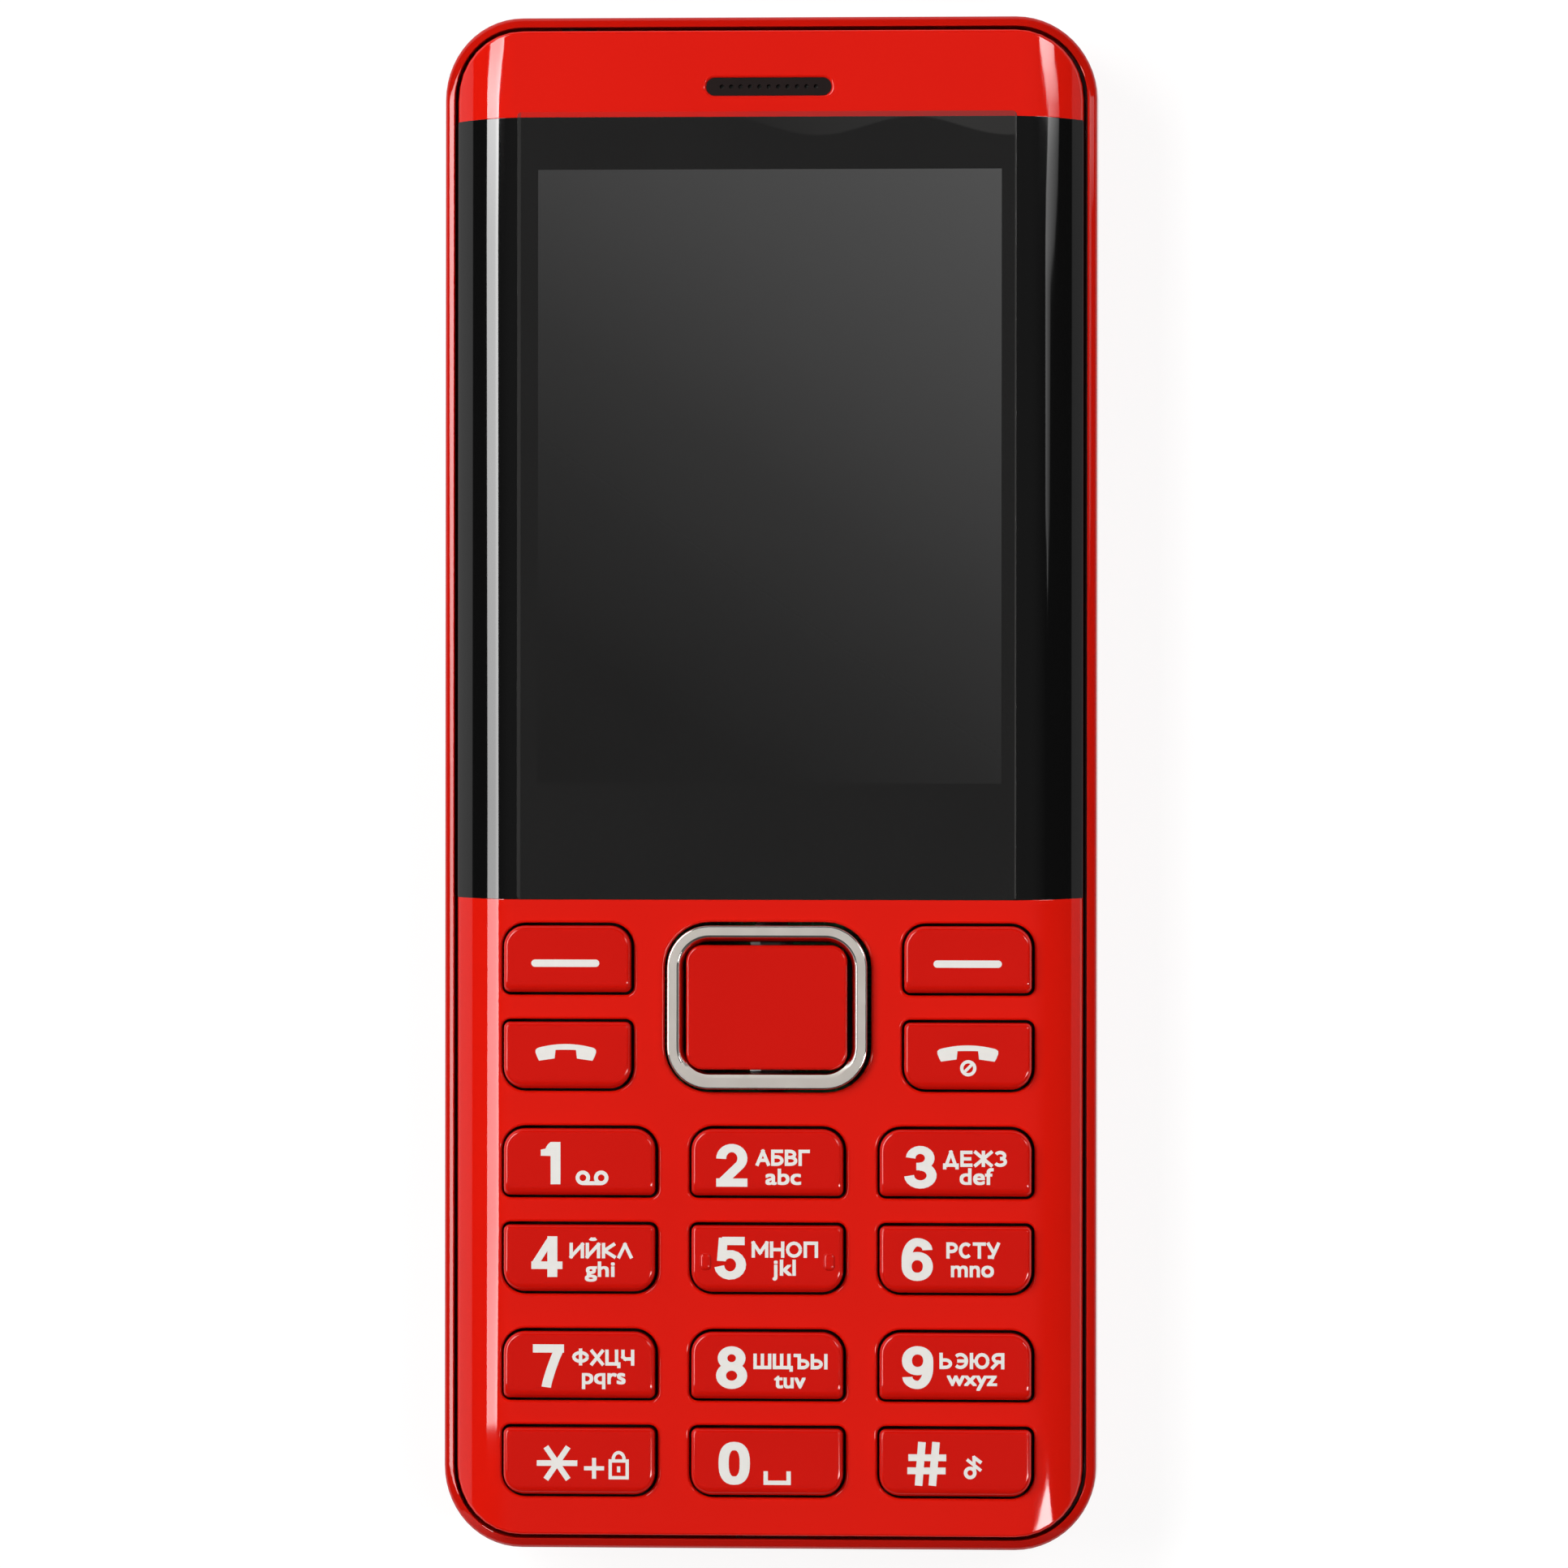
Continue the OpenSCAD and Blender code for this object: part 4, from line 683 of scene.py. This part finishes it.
# A number key has a large digit at its left and two short lines of letters, each in its box, at its right.
NUMBERS = {
    "2": (-3.24, -0.26, "АБВГ", (1.48, 0.45, 5.0, 1.5), "abc", (1.52, -1.31, 3.29, 1.5)),
    "3": (-3.16, -0.37, "ДЕЖЗ", (1.82, 0.3, 5.9, 1.72), "def", (1.97, -1.22, 3.14, 1.57)),
    "4": (-2.96, 0.24, "ИЙКЛ", (2.06, 1.0, 5.84, 1.99), "ghi", (1.95, -1.22, 2.77, 1.87)),
    "5": (-3.35, 0.06, "МНОП", (1.67, 0.88, 6.14, 1.5), "jkl", (1.6, -1.02, 2.17, 1.95)),
    "6": (-3.5, 0.02, "РСТУ", (1.65, 0.87, 4.94, 1.5), "mno", (1.59, -1.07, 3.97, 1.1)),
    "7": (-2.81, -0.09, "ФХЦЧ", (2.27, 0.62, 5.76, 1.8), "pqrs", (2.32, -1.48, 4.04, 1.5)),
    "8": (-3.24, -0.17, "ШЩЪЫ", (2.2, 0.3, 6.85, 1.65), "tuv", (2.15, -1.48, 2.92, 1.2)),
    "9": (-3.46, -0.09, "ЬЭЮЯ", (1.55, 0.54, 5.99, 1.5), "wxyz", (1.55, -1.5, 4.64, 1.4))}
LEGENDS = {
    "key_" + digit: [figure(digit, x, y), square_letters(upper, *box, LETTER_PEN), lettering(low, *low_box)]
    for digit, (x, y, upper, box, low, low_box) in NUMBERS.items()}
STAR_X, STAR_Y, ARM = -2.0, -0.18, 1.88
star = [(STAR_X - ARM * c, STAR_Y - ARM * s, STAR_X + ARM * c, STAR_Y + ARM * s)
        for c, s in ((1, 0), (0.55, 0.80), (0.55, -0.80))]
LEGENDS.update({
    "softkey_left": [dash(-0.15, -0.4, 6.3, 0.68)], "softkey_right": [dash(0.0, -0.4, 6.3, 0.68)],
    "call_key": [handset(-0.1, 0.26, 5.6, 1.55)],
    "end_key": [handset(0.02, 0.26, 5.6, 1.5), stroke(ring_path(0.06, -1.09, 0.6, 0.6), 0.3, True),
                *bars(0.27, (-0.32, -1.47, 0.44, -0.71))],
    "key_1": [numeral_one(-2.62, -0.12, 1.82, 3.9), stroke(ring_path(0.37, -1.46, 0.49, 0.49), 0.36, True),
              stroke(ring_path(2.07, -1.46, 0.49, 0.49), 0.36, True),
              *bars(0.36, (0.37, -1.96, 2.07, -1.96))],
    "key_star": [*bars(0.52, *star), *bars(0.38, (0.5, -0.64, 2.36, -0.64), (1.43, -1.6, 1.43, 0.32)),
                 *bars(0.3, (2.93, -1.5, 4.5, -1.5), (2.93, 0.05, 4.5, 0.05), (2.93, -1.65, 2.93, 0.2),
                       (4.5, -1.65, 4.5, 0.2)),
                 stroke(ring_path(3.71, 0.2, 0.5, 0.62, 0, 180), 0.3), *bars(0.3, (3.71, -1.0, 3.71, -0.45))],
    "key_0": [figure("0", -2.99, -0.11),
              *bars(0.4, (-0.08, -1.88, 2.04, -1.88), (-0.08, -2.08, -0.08, -0.82),
                    (2.04, -2.08, 2.04, -0.82))],
    "key_hash": [*bars(0.7, (-3.36, -2.07, -3.05, 1.95), (-2.09, -2.07, -1.75, 1.95)),
                 *bars(0.62, (-4.3, 0.51, -0.81, 0.51), (-4.39, -0.7, -0.87, -0.7)),
                 stroke(ring_path(1.4, -0.87, 0.42, 0.42), 0.33, True), *bars(0.28, (1.83, -0.89, 1.73, 0.7)),
                 *bars(0.32, (1.67, 0.62, 2.43, 0.06)), *bars(0.29, (1.1, 0.36, 2.41, -0.66))]})

ease = np.radians(np.linspace(0, 90, 8))
soft = np.array([0.08, 0.16, 0.26, 0.38, 0.52, 0.7, 1.0])
cap_in = CAP_IN + np.concatenate([[0.1, 0, 0], BEVEL * (1 - np.cos(ease)), BEVEL + soft])
cap_z = np.concatenate([
    [KEY_FOOT, KEY_FOOT + 0.1, 14.2], KEY_TOP - BEVEL * (1 - np.sin(ease)), np.full(len(soft), KEY_TOP)])
for name, (x, y, w, radii) in KEYS.items():
    rows = lofted(w, KEY_L, radii, cap_in, cap_z, (x, y), arc=10, run=(5, 8))
    below = np.clip((y - rows[2:, :, 1] - KEY_L / 2 + FALL_L) / FALL_L, 0, 1)
    rows[2:, :, 2] -= FALL_H * below**2
    fit(add_loft(name + "_cap", rows, red_keys, sharp=50), name, "red_keys", name)
    marks, faces = overlaid(LEGENDS[name])
    fit(add_mesh(name + "_legend", marks + (x, y, KEY_TOP), faces, ink), name, "red_keys")

# The two nibs are low rounded bars standing on the 5's left and right ends.
NIB_W, NIB_L, NIB_R, NIB_H, NIB_SUNK, NIB_DOWN = 1.05, 1.6, 0.4, 0.21, 0.02, 0.24
x, y = KEYS["key_5"][:2]
rise = np.radians(np.linspace(0, 90, 6))
nib_in = np.append(0.32 * (1 - np.cos(rise)), 0.36)
nib_z = KEY_TOP - NIB_SUNK + NIB_H * np.append(np.sin(rise), 1)
for name, dx in (("key_5_nib_left", -5.68), ("key_5_nib_right", 5.76)):
    rows = lofted(NIB_W, NIB_L, NIB_R, nib_in, nib_z, (x + dx, y - NIB_DOWN), arc=6, run=(1, 2))
    fit(add_loft(name, rows, red_keys, sharp=60), "key_5", "red_keys")

# Navigation ring: a plated plastic frame, satin on its flat top and polished on its bevels, which
# tilts on the rocker under it; the middle key is a plain red cap inside it.
chrome = surface("polished plating", "CFCAC5", "DAD6D1", 4, (0.04, 0.07), 1.2, 0.0001, 1.0)[0]
satin = surface("satin plating", "CFC7BF", "D6CFC8", 2.5, (0.38, 0.44), 0.12, 0.0006, 1.0)[0]
RING_TOP, RING_FOOT, RING_IN, OUTER_R, INNER_R = 15.6, 12.4, 0.25, 0.15, 0.1
quarter, turned = np.radians(np.linspace(0, 90, 6)), np.radians([0, 15, 30, 42])
ring_in = np.concatenate([
    [RING_IN + 0.06, RING_IN, RING_IN], RING_IN + OUTER_R * (1 - np.cos(quarter)), [0.46, 0.8, 1.14],
    1.2 + INNER_R * np.sin(turned), [1.37, 1.6, 1.8, 1.84, 1.78]])
ring_z = np.concatenate([
    [RING_FOOT, RING_FOOT + 0.06, 14.6], RING_TOP - OUTER_R * (1 - np.sin(quarter)), [RING_TOP] * 3,
    RING_TOP - INNER_R * (1 - np.cos(turned)), [15.484, 15.0, 14.1, RING_FOOT + 0.06, RING_FOOT]])
rows = lofted(RING_W, RING_L, RING_R, ring_in, ring_z, (0, RING_Y), arc=18, run=(6, 6))
# On the lower side the satin flat runs on nearly to the opening, and only its edge is rounded there.
lower = np.clip((RING_Y - 4.2 - rows[..., 1]) / 1.2, 0, 1) ** 2
flat_z = np.array([RING_TOP] * 5 + [15.57, 14.6])[:, None]
rows[12:19, :, 2] += (flat_z - rows[12:19, :, 2]) * lower[12:19]
nav_ring = add_mesh("nav_ring_plated", rows, loop_faces(*rows.shape[:2], ring=True), chrome, sharp=35)
nav_ring.data.materials.append(satin)
row_of, spot = np.divmod(np.arange(len(nav_ring.data.polygons)), rows.shape[1])
dull = (row_of >= 8) & (row_of < np.where(lower[row_of, spot] > 0.5, 17, 11))
nav_ring.data.polygons.foreach_set("material_index", dull.astype(np.int32))
fit(nav_ring, "nav_ring", "chrome_ring", "nav_ring")

OK_W, OK_L, OK_R, OK_X = 14.9, 11.5, 1.54, -0.07
OK_TOP, OK_FOOT, OK_BEVEL = 15.3, 13.2, 0.28
ok_in = np.concatenate([[0.1, 0, 0], OK_BEVEL * (1 - np.cos(ease)), [OK_BEVEL + 0.1, 1.2]])
ok_z = np.concatenate([
    [OK_FOOT, OK_FOOT + 0.1, 14.6], OK_TOP - OK_BEVEL * (1 - np.sin(ease)), [OK_TOP, OK_TOP]])
rows = lofted(OK_W, OK_L, OK_R, ok_in, ok_z, (OK_X, RING_Y), arc=10, run=(5, 4))
fit(add_loft("ok_key_cap", rows, red_keys, sharp=50), "ok_key", "red_keys", "ok_key")

# Rear cover: a thin red shell with rounded edges that snaps over the battery, with slots for the
# loudspeaker and holes for the camera window and the torch lens, which are glued in.
COVER_IN, COVER_EDGE, COVER_H, COVER_T = 0.3, 3.6, 4.2, 1.1
TONGUE_IN, TONGUE_T, TONGUE_TOP = 1.6, 0.8, 5.1
curl = np.radians(np.linspace(0, 90, 12))
shell_in = np.concatenate([
    [6.0, 4.2], COVER_IN + COVER_EDGE * (1 - np.sin(curl)),
    [COVER_IN, COVER_IN + 0.06, TONGUE_IN, TONGUE_IN, TONGUE_IN + 0.1],
    [TONGUE_IN + TONGUE_T] * 2, [TONGUE_IN + TONGUE_T + 0.3]])
shell_z = np.concatenate([
    [0, 0], COVER_EDGE * (1 - np.cos(curl)), [COVER_H - 0.1, COVER_H, COVER_H],
    [TONGUE_TOP - 0.1, TONGUE_TOP, TONGUE_TOP], [COVER_T + 0.3, COVER_T]])
cover = add_loft("cover_shell", lofted(BODY_W, BODY_L, BODY_R, shell_in, shell_z), deep_red)


def back_cutter(x, y, w, l, r, z0, z1):
    """Upright rounded bar between two heights, the solid of an opening in the back."""
    return add_loft("cutter", lofted(w, l, r, [0, 0], [z0, z1], (x, y), arc=10, run=(1, 1)), deep_red)


CAMERA_Y, TORCH_X, SPEAKER_X, TAIL_Y, SLOT_STEP = 59.575, 9.0, 12.75, -60.275, 1.5
cut_out(cover, back_cutter(0, CAMERA_Y, 6.9, 6.9, 3.449, -1, COVER_T / 2),
        back_cutter(0, CAMERA_Y, 6.0, 6.0, 2.999, 0.2, 2),
        back_cutter(TORCH_X, CAMERA_Y, 3.1, 3.1, 1.549, -1, 2),
        back_cutter(-18, 68.8, 6.8, 2.4, 0.1, COVER_H, 6),
        *[back_cutter(SPEAKER_X + SLOT_STEP * k, TAIL_Y, 0.7, 8.0, 0.349, -1, 2) for k in range(-3, 4)])
fit(cover, "rear_cover", "red_shell", "rear_cover")
lens, _, shader, _ = surface("clear moulded lens", "DAD9D4", "E6E5E0", 1.5, (0.08, 0.16), 0.3, 0.003)
shader.inputs["Alpha"].default_value = 0.55
dress(lens, "torch_lens")
glass, tree, shader, place = surface("black camera glass", "060607", "0B0B0D", 3, (0.03, 0.06), 1, 0.0001)
spot = add(tree, "VectorMath", {0: place, 1: (0, CAMERA_Y * MM, 0)}, operation="SUBTRACT")[0]
spot = add(tree, "VectorMath", {0: spot, 1: (1, 1, 0)}, operation="MULTIPLY")[0]
reach = add(tree, "VectorMath", {0: spot}, operation="LENGTH")["Value"]
rings = ramp(tree, remap(tree, reach, 0.0, 4 * MM), (
    (0.0, "0B1422"), (0.24, "16263C"), (0.26, "3A3D42"), (0.30, "0A0A0C"), (0.52, "08080A"),
    (0.54, "4C4C4E"), (0.58, "070708")))
tree.links.new(rings, shader.inputs["Base Color"])
dress(glass, "camera_window")

# Table: a broad white sheet under the phone. It shows white to the lens and in reflections, and keeps a
# faint share of the light on it, so the phone's shadow stays; from below and at the contact it is clear.
TABLE_HALF, TABLE_Z, CONTACT = 1500.0, -0.1, 1.5


def bare(name):
    """Material without a shader yet, its nodes and the socket that its surface goes into."""
    made = bpy.data.materials.new(name)
    made.use_nodes = True
    tree = made.node_tree
    tree.nodes.remove(tree.nodes["Principled BSDF"])
    return made, tree, tree.nodes["Material Output"].inputs["Surface"]


paper, tree, output = bare("white table sheet")
path = add(tree, "LightPath", {})
seen = reckon(tree, "MAXIMUM", path["Is Camera Ray"], path["Is Glossy Ray"])
seen = reckon(tree, "MAXIMUM", seen, path["Is Transmission Ray"])
place = add(tree, "TexCoord", {})["Object"]
fibre = add(tree, "TexNoise", {"Vector": place, "Scale": 40.0, "Detail": 2.0})[0]
tint = add(tree, "Mix", {0: fibre, 6: srgb("F4F4F3"), 7: srgb("FAFAF9")}, data_type="RGBA")[2]
matt = add(tree, "BsdfDiffuse", {"Color": tint})[0]
glow = add(tree, "Emission", {"Strength": 0.86})[0]
dark = add(tree, "BsdfTransparent", {"Color": (0, 0, 0, 1)})[0]
clear = add(tree, "BsdfTransparent", {})[0]
share = add(tree, "MixShader", {0: 0.2, 1: dark, 2: matt})[0]
bright = add(tree, "AddShader", {0: glow, 1: share})[0]
front = add(tree, "MixShader", {0: seen, 1: matt, 2: bright})[0]
touching = reckon(tree, "LESS_THAN", path["Ray Length"], CONTACT * MM)
under = reckon(tree, "MAXIMUM", add(tree, "NewGeometry", {})["Backfacing"], touching)
tree.links.new(add(tree, "MixShader", {0: under, 1: front, 2: clear})[0], output)
corners = TABLE_HALF * np.array([[-1, -1], [1, -1], [1, 1], [-1, 1]])
table = add_mesh("table", np.insert(corners, 2, TABLE_Z, 1), [[0, 1, 2, 3]], paper)

# Studio light: a long softbox at the left whose reflection runs down the rolled edge, and three at the
# right, above, down the edge and below; each is a lit sheet bent round the table at 0.7 m.
SHEET_R = 700.0


def softbox(name, knots, across):
    """Lit sheet on a cylinder round the phone's long axis: each knot gives a place along the phone, the two
    angles from straight up between which the sheet reaches there, and its light; across gives the shares of
    that light at seven places from the first border to the second."""
    knots = np.asarray(knots, float)
    share = np.array([0, 0.1, 0.3, 0.5, 0.7, 0.9, 1.0])
    turn = np.radians(knots[:, 1:2] * (1 - share) + knots[:, 2:3] * share)
    along = np.broadcast_to(knots[:, :1], turn.shape)
    points = np.stack([SHEET_R * np.sin(turn), along, FRONT_Z + SHEET_R * np.cos(turn)], -1)
    cloth, tree, output = bare(name + "_cloth")
    level = add(tree, "Attribute", {}, attribute_name="level")["Fac"]
    shine = add(tree, "Emission", {"Strength": level})[0]
    clear = add(tree, "BsdfTransparent", {})[0]
    back = add(tree, "NewGeometry", {})["Backfacing"]
    tree.links.new(add(tree, "MixShader", {0: back, 1: shine, 2: clear})[0], output)
    box = add_mesh(name, points, [f[::-1] for f in loop_faces(*points.shape[:2], round_trip=False)], cloth)
    light = box.data.attributes.new("level", "FLOAT", "POINT")
    light.data.foreach_set("value", (knots[:, 3:] * across).ravel())
    box.visible_camera = False


softbox("softbox_left",
        [(-106, -46.1, -31.7, 11.5), (-73, -45.8, -29.6, 8.5), (-6, -45.6, -30.5, 8.7),
         (88, -47.6, -31.7, 12.5), (111, -47, -30.7, 17), (120, -42, -23.4, 11.5), (460, -42, -23.4, 10)],
        (0.95, 0.97, 1, 1, 1.03, 1.35, 1.5))
softbox("softbox_upper_right",
        [(109, 32.4, 49, 5), (112, 31.4, 48, 8.2), (116, 26.5, 43, 13.5), (120, 22.5, 42.3, 15),
         (180, 18, 40, 15)],
        (1.1, 1.08, 1.05, 1, 0.9, 0.75, 0.65))
softbox("softbox_right_tail",
        [(30.5, 33.8, 35, 1.5), (37, 33.4, 35.7, 1.4), (42.4, 31.6, 37.2, 1.3), (80, 31.2, 37.8, 1.8),
         (86, 31.1, 43.5, 2.2), (95, 31.9, 47.8, 2.2), (101, 33.5, 48.8, 2.5), (108.9, 35, 50, 4)],
        (1.7, 1.35, 1.1, 0.9, 0.7, 0.5, 0.4))
softbox("softbox_lower_right", [(-170, 13, 46, 22), (-124, 16.5, 45, 22), (-115, 34, 37, 22)],
        np.ones(7))

# Room: pale walls low round the table, dim above; what lies behind the table is white to the lens.
room = bpy.data.worlds.new("room")
bpy.context.scene.world = room
room.use_nodes = True
tree = room.node_tree
ground = tree.nodes["Background"]
ground.inputs["Color"].default_value = (1, 1, 1, 1)
place = add(tree, "TexCoord", {})["Generated"]
east, north, up = add(tree, "SeparateXYZ", {"Vector": place})
side = reckon(tree, "MULTIPLY_ADD", east, -0.22, 0.68)
away = reckon(tree, "MULTIPLY_ADD", reckon(tree, "MULTIPLY", east, east), 0.5, 0.5)
ends = reckon(tree, "MULTIPLY_ADD", north, 0.8, 1.0)
low = reckon(tree, "MULTIPLY", reckon(tree, "MULTIPLY", side, away), ends)
dim = remap(tree, up, 0.86, 0.98, 0.04, 0.15)
walls = add(tree, "Mix", {0: remap(tree, up, 0.37, 0.39), 2: low, 3: dim})[0]
below = reckon(tree, "LESS_THAN", up, -0.03)
fill = reckon(tree, "MULTIPLY_ADD", north, -0.5, 0.8)
walls = add(tree, "Mix", {0: below, 2: walls, 3: fill})[0]
seen = add(tree, "LightPath", {})["Is Camera Ray"]
level = add(tree, "Mix", {0: seen, 2: walls, 3: 1.0})[0]
tree.links.new(level, ground.inputs["Strength"])

# Camera: a long lens above the phone, a little to its right, as far off as the photograph's perspective
# tells; its focal length is given in the photograph's pixels.
SENSOR, FOCAL_PX, PHOTO_PX = 36.0, 12038.0, 1932.0
CAMERA_AT = (61.47, 1.56, 900 + FRONT_Z)
turn_y, turn_x, turn_z = np.radians((-3.8132, 0.104, -0.0562))
look = Matrix.Rotation(turn_z, 3, "Z") @ Matrix.Rotation(turn_x, 3, "X") @ Matrix.Rotation(turn_y, 3, "Y")
view = bpy.data.cameras.new("camera")
view.sensor_width = SENSOR
view.lens = FOCAL_PX * SENSOR / PHOTO_PX
view.clip_end = 20.0
camera = linked("camera", view)
camera.matrix_world = Matrix.Translation([c * MM for c in CAMERA_AT]) @ look.transposed().to_4x4()
bpy.context.scene.camera = camera
bpy.context.scene.view_settings.view_transform = "Standard"
